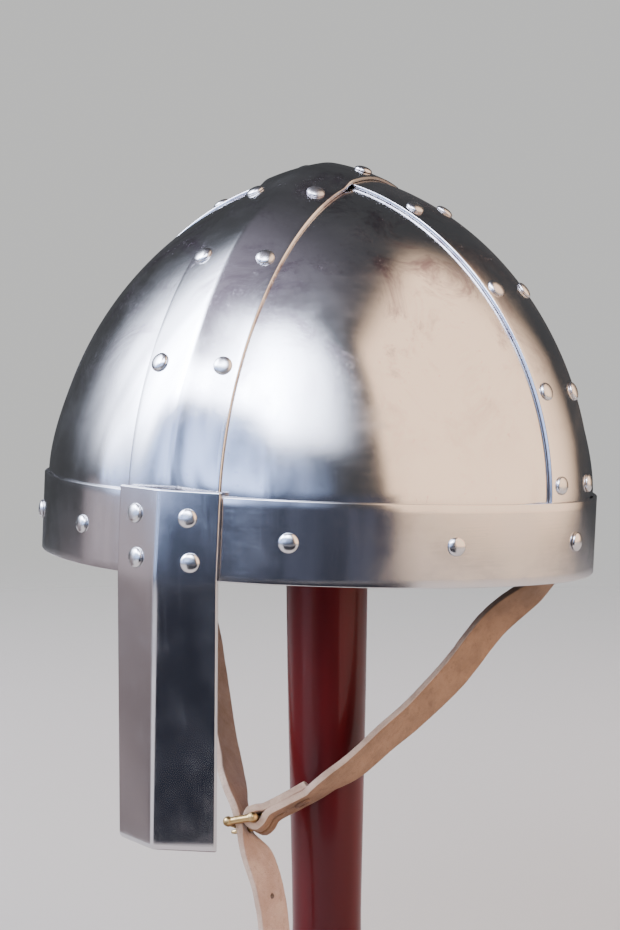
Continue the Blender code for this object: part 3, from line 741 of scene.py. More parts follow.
def nasal_point(share, height, under=0.0):
    """A point of the nasal: share runs from -1 to 1 across it."""
    down = (NASAL_TOP - height) / (NASAL_TOP - NASAL_END)
    half = NASAL_HALF_WIDTH + (NASAL_END_HALF_WIDTH - NASAL_HALF_WIDTH) * down
    ridge = NASAL_RIDGE + (NASAL_END_RIDGE - NASAL_RIDGE) * down
    soft = RIDGE_RADIUS / half
    flank = (np.sqrt(share**2 + soft**2) - soft) / (np.sqrt(1 + soft**2) - soft)
    below = (np.sqrt(height**2 + BEND_EASE**2) - height) / 2
    back = NASAL_BEND * (below - BEND_EASE / 2) / -NASAL_END
    worn = WORN_DEPTH * max(0, 1 - (height - NASAL_END) / WORN_HEIGHT) ** 2
    worn *= 1 - under / NASAL_SHEET
    return NASAL_CENTRE + share * half, NASAL_FACE - ridge * (1 - flank) + back + under + worn, height


def nasal_face(under):
    """A grid of one face, close at the ridge, at the fold under the rim and at the worn end."""
    near_ridge = np.linspace(-1, 1, 15) * RIDGE_REACH
    left_flank, right_flank = np.linspace(-1, -FLANK_START, 12), np.linspace(FLANK_START, 1, 12)
    shares = np.concatenate((left_flank, near_ridge, right_flank))
    near_rim = np.linspace(FOLD_REACH, -FOLD_REACH, 13)
    near_end = NASAL_END + WORN_HEIGHT * np.array((1, 0.75, 0.5, 0.25, 0))
    long_part = np.linspace(-LONG_PART_START, NASAL_END + 2 * WORN_HEIGHT, 23)
    top_part = np.linspace(NASAL_TOP, LONG_PART_START, 8)
    down = np.concatenate((top_part, near_rim, long_part, near_end))
    return np.array([[nasal_point(share, height, under) for share in shares] for height in down])


nasal_sheet = slab("nasal_guard", nasal_face(0), nasal_face(NASAL_SHEET))
nasal = add_piece("nasal_guard", nasal_sheet, "brow_steel", nasal_steel, ["nasal"], helm_place)
outward(nasal.data)
filed = nasal.modifiers.new("filed edges", "BEVEL")
filed.width, filed.segments = FILED_EDGE, 4
filed.limit_method, filed.angle_limit = "ANGLE", FILED_ANGLE
filed.harden_normals = True
settle(nasal)

# %% [markdown]
# ## The rivets
#
# Every rivet is the same: a low domed head outside, a shank through the layers, and a small peened
# end inside, where the shank was hammered over. The shank is out of sight and isn't made. A
# Geometry Nodes tree makes a head and a peened end and puts them on every point of a small mesh.
# Each point carries the way its rivet faces and how thick the layers are there. Fixed seeds turn
# and tilt each one by a little, because they were set by hand and no two heads lie quite the same.

# %% Where the rivets go
RIVET_INSET = 5.7 * MM  # from a band's edge
# Degrees along an arm from its foot, degrees round the brow, and places on the nasal in mm.
ROWS_UP_ARM, ROWS_UP_FRONT = (3.8, 22.5, 44.1, 66.8), (25.2, 48.5, 70.2)
BROW_RIVETS, STRAP_RIVET = (23.5, 56.0, 88.3, 119.0, 149.5), 119.0
NASAL_RIVETS = ((-11.6, 21.5), (9.9, 21.3), (-10.2, 6.3), (11.4, 6.2))
# Thickness of the layers that each kind of rivet holds.
BAND_LAP, BROW_LAP, STRAP_LAP, NASAL_LAP = 2 * SHEET + LAP_GAP, 4.2 * MM, 8.1 * MM, 8.5 * MM
STEP_ACROSS, STEP_ALONG = 0.2 * MM, 0.004  # small steps that find the way a surface faces


def band_point(fore_aft, offset, angle):
    """A point of a band's outer face, by the same rule as its tree."""
    half_span, half_width = (HALF_LENGTH, HALF_WIDTH) if fore_aft else (HALF_WIDTH, HALF_LENGTH)
    depth = BAND_DEPTH
    if fore_aft:
        depth -= KEEL * max(sin(angle), 0) ** KEEL_POWER * (1 - abs(offset) / HALF_BAND)
        from_top = abs(half_span * cos(angle))
        depth -= CLIMB * (1 - ease((from_top - CLIMB_START) / (CLIMB_END - CLIMB_START)))
    share = 1 - abs(offset / (half_width - depth)) ** PLAN_POWER
    run = (half_span - depth) * share ** (1 / PLAN_POWER) * cos(angle)
    steep = max(1 - abs(cos(angle)) ** PLAN_POWER, 0)
    height = BROW_HEIGHT + (CROWN_HEIGHT - depth) * (share * steep) ** (1 / RISE_POWER)
    return Vector((offset, -run, height) if fore_aft else (run, offset, height))


def facing_of(surface, u, v):
    """The way a surface faces at (u, v), away from the middle of the helm."""
    across = surface(u + STEP_ACROSS, v) - surface(u - STEP_ACROSS, v)
    along = surface(u, v + STEP_ALONG) - surface(u, v - STEP_ALONG)
    way = across.cross(along).normalized()
    return way if way.dot(surface(u, v) - Vector((0, 0, BROW_HEIGHT / 2))) > 0 else -way


def brow_point(offset, turn):
    """A point of the brow band's outer face, by its height over or under the middle."""
    across, along = rim(turn, 0)
    return Vector((across, along, BROW_HEIGHT / 2 + offset))


def nasal_at(across, height):
    """A point of the nasal's outer face."""
    return Vector(nasal_point(across / NASAL_HALF_WIDTH, height))


rivets = []  # place, facing and thickness of the layers


def rivet_on(surface, u, v, layers):
    """Note a rivet at (u, v) of a surface."""
    rivets.append((surface(u, v), facing_of(surface, u, v), layers))


from_middle = HALF_BAND - RIVET_INSET
for fore_aft, rows, start, way in (
    (True, ROWS_UP_FRONT, 0, 1),
    (True, ROWS_UP_ARM, 180, -1),
    (False, ROWS_UP_ARM, 0, 1),
    (False, ROWS_UP_ARM, 180, -1),
):
    for row in rows:
        for side in (-from_middle, from_middle):
            rivet_on(partial(band_point, fore_aft), side, radians(start + way * row), BAND_LAP)
for turn in [*BROW_RIVETS, 180.0, *(-turn for turn in reversed(BROW_RIVETS))]:
    layers = STRAP_LAP if abs(turn) == STRAP_RIVET else BROW_LAP
    rivet_on(brow_point, 0.0, radians(turn), layers)
solid_rivets = len(rivets)
for across, height in NASAL_RIVETS:
    rivet_on(nasal_at, across * MM, height * MM, NASAL_LAP)
for side in (-from_middle, from_middle):
    rivet_on(partial(band_point, True), side, pi / 2, BAND_LAP)
joined_rivets = len(rivets) - solid_rivets
print(solid_rivets, "rivets with solids of their own, and", joined_rivets, "on the nasal and the top")

# %% A tree that sets a rivet on every point
RIVET_SIZES = (
    ("Head radius", 3.5 * MM),
    ("Head rise", 1.8 * MM),
    ("Peened radius", 2.3 * MM),
    ("Peened rise", 0.75 * MM),
    ("Tilt", radians(2.5)),
    ("Spread of sizes", 0.05),
)
BALL_FACES = {"Segments": 28, "Rings": 18, "Radius": 1.0}
DOME_POWER = 0.8  # below 1, so a head is fuller at its rim than a ball
TILT_SEEDS, TURN_SEED, SIZE_SEED = (1, 2), 3, 4


def rivet_tree(finish):
    """Sets a head and a peened end on every point of a mesh, by its facing and its layers."""
    tree, given, size = new_shape_tree("Set the rivets", RIVET_SIZES)

    def dome(radius, rise, turn):
        ball = add(tree, "GeometryNodeMeshUVSphere", BALL_FACES)["Mesh"]
        spot = add(tree, "GeometryNodeInputPosition")[0]
        place = add(tree, "ShaderNodeSeparateXYZ", {"Vector": spot})
        x, y, z = (Term(tree, place[i]) for i in range(3))
        low = z.at_least(0.0) ** DOME_POWER
        inputs = {"X": x * radius, "Y": y * radius, "Z": low * rise * turn}
        shaped = add(tree, "ShaderNodeCombineXYZ", inputs)[0]
        inputs = {"Geometry": ball, "Position": shaped}
        return add(tree, "GeometryNodeSetPosition", inputs)["Geometry"]

    def attribute(label, kind):
        inputs = {"Name": label}
        return add(tree, "GeometryNodeInputNamedAttribute", inputs, data_type=kind)["Attribute"]

    def chance(low, high, seed):
        number = add(tree, "FunctionNodeRandomValue", {"Seed": seed}, data_type="FLOAT")
        limits = [s for s in number[0].node.inputs if s.name in ("Min", "Max") and s.enabled]
        for socket, value in zip(limits, (low, high)):
            put(tree, socket, value)
        return Term(tree, next(s for s in number if s.enabled))

    head = dome(size["Head radius"], size["Head rise"], 1.0)
    peened = dome(size["Peened radius"], size["Peened rise"], -1.0)
    tilt_x, tilt_y = (chance(-1.0, 1.0, seed) * size["Tilt"] for seed in TILT_SEEDS)
    inputs = {"X": tilt_x, "Y": tilt_y, "Z": chance(0.0, 2 * pi, TURN_SEED)}
    tilt = add(tree, "ShaderNodeCombineXYZ", inputs)[0]
    facing = attribute("facing", "FLOAT_VECTOR")
    upright = add(tree, "FunctionNodeAlignRotationToVector", {"Vector": facing}, axis="Z")[0]
    inputs = {"Rotation": upright, "Rotate By": tilt}
    turned = add(tree, "FunctionNodeRotateRotation", inputs, rotation_space="LOCAL")[0]
    grown = chance(-1.0, 1.0, SIZE_SEED) * size["Spread of sizes"] + 1
    inputs = {"Points": given[0], "Instance": head, "Rotation": turned, "Scale": grown}
    heads = add(tree, "GeometryNodeInstanceOnPoints", inputs)[0]
    inputs = {0: facing, "Scale": 0 - Term(tree, attribute("lap", "FLOAT"))}
    inwards = add(tree, "ShaderNodeVectorMath", inputs, operation="SCALE")[0]
    inputs = {"Geometry": given[0], "Offset": inwards}
    back_points = add(tree, "GeometryNodeSetPosition", inputs)["Geometry"]
    inputs = {"Points": back_points, "Instance": peened, "Rotation": turned}
    ends = add(tree, "GeometryNodeInstanceOnPoints", inputs)[0]
    both = add(tree, "GeometryNodeJoinGeometry")
    for part in (heads, ends):
        tree.links.new(part, both[0].node.inputs[0])
    end_shape_tree(tree, both[0], finish)
    return tree


setting = new_mesh("rivets", [place for place, _, _ in rivets], [])
facing = setting.attributes.new("facing", "FLOAT_VECTOR", "POINT")
facing.data.foreach_set("vector", [value for _, way, _ in rivets for value in way])
lap = setting.attributes.new("lap", "FLOAT", "POINT")
lap.data.foreach_set("value", [layers for _, _, layers in rivets])
rivet_solids = [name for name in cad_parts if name.startswith("rivet_")]
rivet_heads = add_piece("rivets", setting, "rivet_steel", None, rivet_solids)
shape_with(rivet_heads, rivet_tree(rivet_steel)).transform(helm_place)
outward(rivet_heads.data)

# %% [markdown]
# ## The chin strap
#
# The strap is two lengths of vegetable-tanned leather, 15 mm wide and just under 3 mm thick, each
# riveted inside the wall. The left one folds round the buckle's axle and lies back on itself. The
# right one passes up through the buckle, is caught by the pin, and its free end hangs down. Both
# are flat strips that bend and twist but never stretch, so each is swept along a curve: every row
# has a place, and a way that its width lies. The faces carry three finishes, because the smooth
# grain side, the fibrous flesh side and the pale cut edges of leather look nothing alike.

# %% Sizes and routes of the strap
STRAP_WIDTH, LEATHER, STRAP_DEPTH = 15 * MM, 2.8 * MM, 6.6 * MM
BEND_RADIUS, BEND_CENTRE = 3.8 * MM, 0.7 * MM  # of the leather's middle, round the axle
WIRE, BALL, PIN_WIRE = 1.5 * MM, 2.0 * MM, 1.0 * MM  # radii
EYE_RADIUS = WIRE + 0.3 * MM + PIN_WIRE
BUCKLE_LENGTH, BUCKLE_HALF_WIDTH = 9.6 * MM, 9.7 * MM
STRAP_IN_BUCKLE, STRAIGHT_IN_BUCKLE, LEAN_IN_BUCKLE = 6.4 * MM, 3.5 * MM, 0.12
WALL_HEIGHTS, WALL_STEP = (22, 14, 5), 0.01  # over the rim in mm, and an angle in radians
AXLE = Vector((-12.5, -31.2, 96.1)) * MM
BUCKLE_TURN, FOLD_TURN = (-13.5, 18.0), (-13.5, 20.5)
BUCKLE_FORWARD = Vector((-0.937, -0.276, -0.212))
# Places over the stand's foot in millimetres, then the way that the width lies: degrees from +Y
# towards +X, and degrees below level.
#   X      Y      Z     turn  dip
LEFT_ROUTE = (
    (71.7, 38.3, 182.6, -2, 30),
    (59.1, 25.9, 169.7, 10, 42),
    (48.4, 13.4, 151.6, 12, 41),
    (37.8, 2.1, 137.3, 2, 40),
    (28.8, -7.3, 127.3, -4, 40),
    (20.9, -15.9, 118.1, -5, 36),
    (13.0, -22.0, 111.9, -8, 26),
)
RIGHT_ROUTE = (
    (-85.1, 43.0, 172.4, 20, 0),
    (-69.0, 26.6, 150.1, 2, 0),
    (-48.9, 3.3, 124.2, -11, 0),
    (-36.6, -11.6, 111.7, -12, 4),
    (-26.9, -25.3, 104.9, -13, 8),
)
TAIL_ROUTE = (
    (-11.3, -35.3, 83.6, 10, 0),
    (-7.7, -34.8, 74.3, 12, 0),
    (-5.7, -34.2, 64.7, 12, 0),
    (-4.8, -33.5, 55.2, 12, 0),
    (-4.5, -33.3, 48.3, 12, 0),
)
# The fold round the axle: millimetres up along the strap and square to it, and degrees round.
FOLD_IN = ((23.0, -0.6), (14.0, -0.6), (7.0, -0.6), (4.4, -1.2), (2.2, -2.8))
FOLD_ARC = (-112, -129, -146, -163, -180, -197, -214, -231, -248)
FOLD_OUT = ((2.2, 3.0), (4.4, 2.1), (7.0, 1.85), (14.0, 1.85), (18.5, 1.95), (23.0, 2.1))

print("the axle is", round(AXLE.z / MM, 1), "mm over the foot")

# %% Rows along a strap
def width_way(turn, dip):
    """The way that a strap's width lies, from its two angles in degrees."""
    turn, dip = radians(turn), radians(dip)
    return Vector((sin(turn) * cos(dip), cos(turn) * cos(dip), -sin(dip)))


axle_way = width_way(*BUCKLE_TURN)
forward = (BUCKLE_FORWARD - BUCKLE_FORWARD.dot(axle_way) * axle_way).normalized()
upward = axle_way.cross(forward)


def route(table):
    """Rows of a table, as places and ways of the width."""
    return [(Vector(row[:3]) * MM, width_way(*row[3:])) for row in table]


def wall_rows(turn):
    """A strap's upper end, riveted flat against the inside of the wall."""
    after, before = rim(turn + WALL_STEP, STRAP_DEPTH), rim(turn - WALL_STEP, STRAP_DEPTH)
    ahead = Vector((*after, 0)) - Vector((*before, 0))
    width = helm_place.to_3x3() @ (ahead.normalized() * (1 if ahead.y > 0 else -1))
    spots = [Vector((*rim(turn, STRAP_DEPTH), height * MM)) for height in WALL_HEIGHTS]
    return [(helm_place @ spot, width) for spot in spots]


def fold_axes(fold_way):
    """From the axle up along the strap, and square to the strap's face, upwards."""
    along = (Vector(LEFT_ROUTE[-1][:3]) * MM - AXLE).normalized()
    along = (along - along.dot(fold_way) * fold_way).normalized()
    across = along.cross(fold_way)
    return along, across if across.z > 0 else -across


def fold_rows():
    """The end of the left strap: down to the axle, round it, and back along the strap."""
    fold_way = width_way(*FOLD_TURN)
    along, across = fold_axes(fold_way)
    turns = [radians(turn) for turn in FOLD_ARC]
    arc = [(cos(t) * BEND_RADIUS + BEND_CENTRE, sin(t) * BEND_RADIUS) for t in turns]
    leaves = [[(a * MM, b * MM) for a, b in leaf] for leaf in (FOLD_IN, FOLD_OUT)]
    path = [*leaves[0], *arc, *leaves[1]]
    return [(AXLE + a * along + b * across, fold_way) for a, b in path]


def buckle_rows():
    """The right strap where it passes through the buckle."""
    middle = AXLE + STRAP_IN_BUCKLE * forward
    ahead = (LEAN_IN_BUCKLE * forward + upward).normalized()
    return [(middle + way * STRAIGHT_IN_BUCKLE * ahead, axle_way) for way in (1, 0, -1)]


def smooth_rows(rows, spacing):
    """Close rows along a smooth curve through the given rows."""
    padded = [rows[0], *rows, rows[-1]]
    result = []
    for a, b, c, d in zip(padded, padded[1:], padded[2:], padded[3:]):
        steps = max(1, round((c[0] - b[0]).length / spacing))
        for t in (i / steps for i in range(steps)):
            pull = (
                -t + 2 * t**2 - t**3,
                2 - 5 * t**2 + 3 * t**3,
                t + 4 * t**2 - 3 * t**3,
                t**3 - t**2,
            )
            near = list(zip(pull, (a, b, c, d)))
            mixed = [sum((w / 2 * row[k] for w, row in near), Vector((0, 0, 0))) for k in (0, 1)]
            result.append(tuple(mixed))
    return [*result, rows[-1]]


def length_of(rows):
    """The length of a strap along its middle."""
    return sum((b[0] - a[0]).length for a, b in zip(rows, rows[1:]))


ROW_SPACING = 1.2 * MM
left_rows = wall_rows(radians(STRAP_RIVET)) + route(LEFT_ROUTE) + fold_rows()
left_rows = smooth_rows(left_rows, ROW_SPACING)
right_rows = wall_rows(radians(-STRAP_RIVET)) + route(RIGHT_ROUTE) + buckle_rows() + route(TAIL_ROUTE)
right_rows = smooth_rows(right_rows, ROW_SPACING)
print(f"left strap {length_of(left_rows) / MM:.0f} mm, right strap {length_of(right_rows) / MM:.0f} mm")

# %% [markdown]
# A cut strap is not a perfect box. Its faces wave a little, and its edges are slightly ragged, so
# noise moves each point by about a tenth of a millimetre. Three cuts finish it: a slot in the fold
# that the pin comes through, the hole that the pin sits in, and a spare hole in the tail. Boolean
# modifiers punch them, as a plain shape that is taken away gives clean walls.

# %% Sweep the leather
GRAIN, FLESH, CUT, LACE = 0, 1, 2, 3  # places in the list of leathers
LEATHER_EDGE, STRAP_COLUMNS = 0.45 * MM, 12
WAVE_SCALE, WAVE_HEIGHT = 140, 0.12 * MM
RAGGED_SCALE, RAGGED_HEIGHT, RAGGED_REACH = 600, 0.10 * MM, 0.5 * MM
FACE_DEPTH, FACE_SPREAD = 0.2 * MM, 0.3 * MM  # past either, a face belongs to the cut edge


def strap_mesh(name, rows, grain_out):
    """Sweep a leather section along rows. Its face that points out is the grain side."""
    section = rounded_strip(STRAP_WIDTH / 2, LEATHER, LEATHER_EDGE, STRAP_COLUMNS)
    points = []
    for i, (place, width) in enumerate(rows):
        ahead = (rows[min(i + 1, len(rows) - 1)][0] - rows[max(i - 1, 0)][0]).normalized()
        side = (width - width.dot(ahead) * ahead).normalized()
        thick = ahead.cross(side).normalized() * grain_out
        for offset, under in section:
            spot = place + offset * side + (LEATHER / 2 - under) * thick
            wave = noise.noise(spot * WAVE_SCALE) * WAVE_HEIGHT
            ragged = 0
            if abs(offset) > STRAP_WIDTH / 2 - RAGGED_REACH:
                ragged = noise.noise(spot * RAGGED_SCALE) * RAGGED_HEIGHT
            points.append(spot + wave * thick + ragged * side)
    count = len(section)
    mesh = new_mesh(name, points, tube_faces(len(rows), count))
    outward(mesh)
    depths = [under for _, under in section]
    for face in mesh.polygons:
        under = [depths[v % count] for v in face.vertices]
        in_edge = FACE_DEPTH < under[0] < LEATHER - FACE_DEPTH
        if len(face.vertices) > 4 or max(under) - min(under) > FACE_SPREAD or in_edge:
            face.material_index = CUT
        else:
            face.material_index = GRAIN if under[0] < LEATHER / 2 else FLESH
    return mesh


straps = []
for name, solid, rows, grain_out in (
    ("left_strap", "strap_left", left_rows, 1),
    ("right_strap", "strap_right", right_rows, -1),
):
    strap = add_piece(name, strap_mesh(name, rows, grain_out), "strap_leather", None, [solid])
    for finish in leathers:
        strap.data.materials.append(finish)
    straps.append(strap)
print("straps:", ", ".join(f"{strap.name} with {len(strap.data.polygons)} faces" for strap in straps))

# %% Punch the slot and the holes
SLOT_LENGTH, SLOT_WIDTH, SLOT_SHIFT = 18 * MM, 2.6 * MM, -1.5 * MM
PIN_HOLE_LENGTH, PIN_HOLE_RADIUS = 6 * MM, PIN_WIRE + 0.45 * MM
TAIL_HOLE_RADIUS, TAIL_HOLE_BACK, TAIL_HOLE_REACH = 1.1 * MM, 22 * MM, 3 * MM


def cut_with(obj, cutter):
    """Take a closed mesh away from a piece that may touch itself, as a folded strap does."""
    tool = bpy.data.objects.new("cutter", cutter)
    bpy.context.scene.collection.objects.link(tool)
    cut = obj.modifiers.new("cut", "BOOLEAN")
    cut.operation, cut.solver, cut.object = "DIFFERENCE", "EXACT", tool
    cut.use_self = True
    settle(obj)
    bpy.data.objects.remove(tool, do_unlink=True)


def facing_matrix(place, direction):
    """A place whose own z points this way."""
    return Matrix.Translation(place) @ direction.to_track_quat("Z", "Y").to_matrix().to_4x4()


def rod(bm, start, end, radius):
    """Add a round rod from one place to another."""
    length, place = (end - start).length, facing_matrix((start + end) / 2, end - start)
    sizes = {"segments": 24, "radius1": radius, "radius2": radius, "depth": length}
    bmesh.ops.create_cone(bm, cap_ends=True, matrix=place, **sizes)


def mesh_from(name, bm):
    """A mesh from a closed shape, with its faces outwards."""
    mesh = bpy.data.meshes.new(name)
    bmesh.ops.recalc_face_normals(bm, faces=bm.faces)
    bm.to_mesh(mesh)
    bm.free()
    return mesh


slot_box = bmesh.new()
axes = Matrix((forward, axle_way, upward)).transposed().to_4x4()
slot_size = Matrix.Diagonal((SLOT_LENGTH, SLOT_WIDTH, 5 * LEATHER, 1))
slot_place = Matrix.Translation(AXLE + SLOT_SHIFT * forward) @ axes @ slot_size
bmesh.ops.create_cube(slot_box, size=1, matrix=slot_place)
cut_with(straps[0], mesh_from("fold slot", slot_box))

holes = bmesh.new()
pin_foot = AXLE - EYE_RADIUS * upward + BEND_RADIUS * forward
rod(holes, pin_foot, pin_foot + PIN_HOLE_LENGTH * forward, PIN_HOLE_RADIUS)
back = round(TAIL_HOLE_BACK / ROW_SPACING)
spot, width = right_rows[-back]
ahead = (right_rows[1 - back][0] - right_rows[-1 - back][0]).normalized()
reach = TAIL_HOLE_REACH * ahead.cross(width).normalized()
rod(holes, spot - reach, spot + reach, TAIL_HOLE_RADIUS)
cut_with(straps[1], mesh_from("punched holes", holes))

# %% [markdown]
# A short lace goes through both leaves of the fold and holds them together. Only a small loop of
# it shows, which lies on the flesh side. It is a wire on an oval path, joined to the strap's mesh
# with a finish of its own.

# %% Knot the lace that holds the fold
KNOT_ALONG, KNOT_NEAR, KNOT_LIFT = 18 * MM, -1.8 * MM, -2.6 * MM
KNOT_HALF_LENGTH, KNOT_HALF_WIDTH, LACE_RADIUS = 2.6 * MM, 1.4 * MM, 0.8 * MM
KNOT_STATIONS, LACE_SIDES = 24, 12

fold_way = width_way(*FOLD_TURN)
fold_along, fold_across = fold_axes(fold_way)
knot_middle = AXLE + KNOT_ALONG * fold_along + KNOT_NEAR * fold_way + KNOT_LIFT * fold_across
knot = [
    knot_middle + KNOT_HALF_LENGTH * cos(t) * fold_along + KNOT_HALF_WIDTH * sin(t) * fold_way
    for t in (2 * pi * i / KNOT_STATIONS for i in range(KNOT_STATIONS))
]
lace_points = tube(knot, LACE_RADIUS, LACE_SIDES, True, fold_across)
lace = new_mesh("lace", lace_points, tube_faces(len(knot), LACE_SIDES, closed=True))
outward(lace)
for face in lace.polygons:
    face.material_index = LACE
laced = bmesh.new()
laced.from_mesh(straps[0].data)
laced.from_mesh(lace)
laced.to_mesh(straps[0].data)
laced.free()
bpy.data.meshes.remove(lace)
print("the lace loop is", round(2 * (KNOT_HALF_LENGTH + LACE_RADIUS) / MM, 1), "mm long")

# %% [markdown]
# ## The buckle
#
# The buckle is a small cast frame of brass, with a ball at each corner, and a pin bent round its
# axle. Cast brass has no sharp inner corners, so the frame's wire and balls are joined and made
# into one skin with a voxel Remesh, and that skin is smoothed. The pin is a plain bent wire.

# %% Cast the frame
CORNER_RADIUS, SKIN_STEP, WIRE_SIDES = 1.2 * MM, 0.16 * MM, 20
BALL_SIDES = {"u_segments": 32, "v_segments": 20}


def buckle_path():
    """A rectangle with rounded corners round the middle of the frame."""
    middle = AXLE + BUCKLE_LENGTH / 2 * forward
    half_a, half_b = BUCKLE_LENGTH / 2 - CORNER_RADIUS, BUCKLE_HALF_WIDTH - CORNER_RADIUS
    path = []
    for sign_a, sign_b, start in ((1, 1, 0), (-1, 1, 90), (-1, -1, 180), (1, -1, 270)):
        for turn in range(0, 91, 15):
            t = radians(start + turn)
            a, b = sign_a * half_a + CORNER_RADIUS * cos(t), sign_b * half_b + CORNER_RADIUS * sin(t)
            path.append(middle + a * forward + b * axle_way)
    return path


frame_path = buckle_path()
frame_rings = tube(frame_path, WIRE, WIRE_SIDES, True, upward)
frame_faces = tube_faces(len(frame_path), WIRE_SIDES, closed=True)
frame_mesh = new_mesh("frame_of_buckle", frame_rings, frame_faces)
cast = bmesh.new()
cast.from_mesh(frame_mesh)
for a in (0, 1):
    for b in (-1, 1):
        corner = AXLE + a * BUCKLE_LENGTH * forward + b * BUCKLE_HALF_WIDTH * axle_way
        place = facing_matrix(corner, axle_way)
        bmesh.ops.create_uvsphere(cast, radius=BALL, matrix=place, **BALL_SIDES)
cast.to_mesh(frame_mesh)
cast.free()
outward(frame_mesh)
buckle = add_piece("frame_of_buckle", frame_mesh, "buckle_brass", brass, ["buckle_frame"])
skin = buckle.modifiers.new("cast skin", "REMESH")
skin.mode, skin.voxel_size, skin.use_smooth_shade = "VOXEL", SKIN_STEP, True
soft = buckle.modifiers.new("soft corners", "SMOOTH")
soft.factor, soft.iterations = 0.5, 4
settle(buckle)

# %% Bend the pin
PIN_PAST_BAR = 1.8 * MM

eye_turns = [radians(turn) for turn in range(220, -91, -10)]
pin_path = [AXLE + EYE_RADIUS * (cos(t) * forward + sin(t) * upward) for t in eye_turns]
tip = AXLE - EYE_RADIUS * upward + (BUCKLE_LENGTH + PIN_PAST_BAR) * forward
pin_path += [pin_path[-1].lerp(tip, share) for share in (0.25, 0.5, 0.75, 0.92, 1.0)]
rings = tube(pin_path, PIN_WIRE, WIRE_SIDES, False, axle_way)
for i, taper in ((-1, 0.55), (-2, 0.85)):
    ring = slice(len(rings) + i * WIRE_SIDES, len(rings) + (i + 1) * WIRE_SIDES)
    rings[ring] = [pin_path[i] + taper * (point - pin_path[i]) for point in rings[ring]]
pin_mesh = new_mesh("pin_of_buckle", rings, tube_faces(len(pin_path), WIRE_SIDES))
outward(pin_mesh)
add_piece("pin_of_buckle", pin_mesh, "buckle_brass", brass, ["buckle_pin"])
print("pin_of_buckle:", len(pin_mesh.polygons), "faces")

# %% [markdown]
# ## The stand
#
# The stand is turned on a lathe from one beech blank: a wide foot, a long post that thickens
# slightly upwards, and a rounded cap that carries the crown of the helm. A turned shape is a
# profile spun round an axis. The profile is smoothed first, as a skew chisel leaves no corners
# except at the foot.

# %% Turn the stand
# Radius and height in millimetres, from the top of the cap down the outside.
STAND_PROFILE = (
    (0.0, 337.6), (12.0, 336.2), (23.0, 332.0), (32.0, 326.0), (36.5, 321.0), (35.0, 315.5),
    (22.0, 305.0), (16.6, 290.0), (16.0, 250.0), (15.8, 195.0), (15.3, 150.0), (14.3, 99.0),
    (13.5, 60.0), (13.6, 44.0), (15.5, 33.0), (22.0, 24.5), (30.0, 22.0), (62.0, 20.0),
    (71.0, 16.0), (75.0, 10.0),
)
STAND_FOOT = ((75.0, 3.0), (74.6, 1.2), (73.8, 0.3), (73.0, 0.0), (0.0, 0.0))
STAND_SIDES, PROFILE_SPACING = 160, 2.5 * MM


def stand_profile():
    """Radius and height of each ring of the stand: a smooth curve, and a crisp foot."""
    rows = [(Vector((radius, 0, height)) * MM, Vector()) for radius, height in STAND_PROFILE]
    smooth = [place for place, _ in smooth_rows(rows, PROFILE_SPACING)]
    foot = [(radius * MM, height * MM) for radius, height in STAND_FOOT]
    return [(max(place.x, 0), place.z) for place in smooth] + foot


profile = stand_profile()
turns = [2 * pi * i / STAND_SIDES for i in range(STAND_SIDES)]
points = [(r * cos(turn), r * sin(turn), height) for r, height in profile[1:-1] for turn in turns]
stand_mesh = new_mesh("turned_stand", points, tube_faces(len(profile) - 2, STAND_SIDES))
outward(stand_mesh)
add_piece("turned_stand", stand_mesh, "red_lacquer", red_lacquer, ["stand"])
print(f"stand: {max(z for _, z in profile) / MM:.0f} mm tall, {len(stand_mesh.polygons)} faces")

# %% [markdown]
# ## Ride and replace
#
# Every piece moves with the object's one body, and stands for the solids that it covers.

# %% Hand the pieces over
for obj, slot_name, replaced in pieces:
    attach(obj, "root")
    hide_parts(*replaced)
print(len(pieces), "pieces stand for", sum(len(replaced) for _, _, replaced in pieces), "solids")

# %% [markdown]
# ## Floor and air
#
# The floor is plain and pale. It fades out at its rim, so no horizon cuts across the picture. The
# air behind it is just as pale to the eye, but dark to the steel: a polished bowl in a white room
# would show no shape at all.

# %% Floor and air
FLOOR_RADIUS, FADE_START, FADE_END = 2.5, 0.7, 2.2
PALE = (0.60, 0.59, 0.57)
SEEN_AIR, SEEN_STRENGTH = (0.80, 0.80, 0.79, 1), 0.85
MIRRORED_AIR, MIRRORED_STRENGTH = (0.92, 0.95, 1.0, 1), 0.08

floor_mesh = bpy.data.meshes.new("floor")
disc = bmesh.new()
bmesh.ops.create_circle(disc, cap_ends=True, segments=96, radius=FLOOR_RADIUS)
disc.to_mesh(floor_mesh)
disc.free()
floor = bpy.data.objects.new("floor", floor_mesh)
bpy.context.scene.collection.objects.link(floor)
pale, tree, shader = new_finish("pale floor", PALE, 0.9, 0.0)
away = add(tree, "ShaderNodeVectorMath", {0: object_place(tree)}, operation="LENGTH")["Value"]
fade = Term(tree, away).between(FADE_START, FADE_END, to=(1.0, 0.0))
put(tree, shader.inputs["Alpha"], fade)
floor_mesh.materials.append(pale)

air = bpy.data.worlds.new("air")
bpy.context.scene.world = air
air.use_nodes = True
tree = air.node_tree
inputs = {"Color": SEEN_AIR, "Strength": SEEN_STRENGTH}
seen = add(tree, "ShaderNodeBackground", inputs)[0]
inputs = {"Color": MIRRORED_AIR, "Strength": MIRRORED_STRENGTH}
around = add(tree, "ShaderNodeBackground", inputs)[0]
eye = add(tree, "ShaderNodeLightPath")["Is Camera Ray"]
mixed_air = add(tree, "ShaderNodeMixShader", {0: eye, 1: around, 2: seen})[0]
put(tree, tree.nodes["World Output"].inputs["Surface"], mixed_air)
print(f"floor {2 * FLOOR_RADIUS:.0f} m wide, faded from {FADE_START} m outwards")

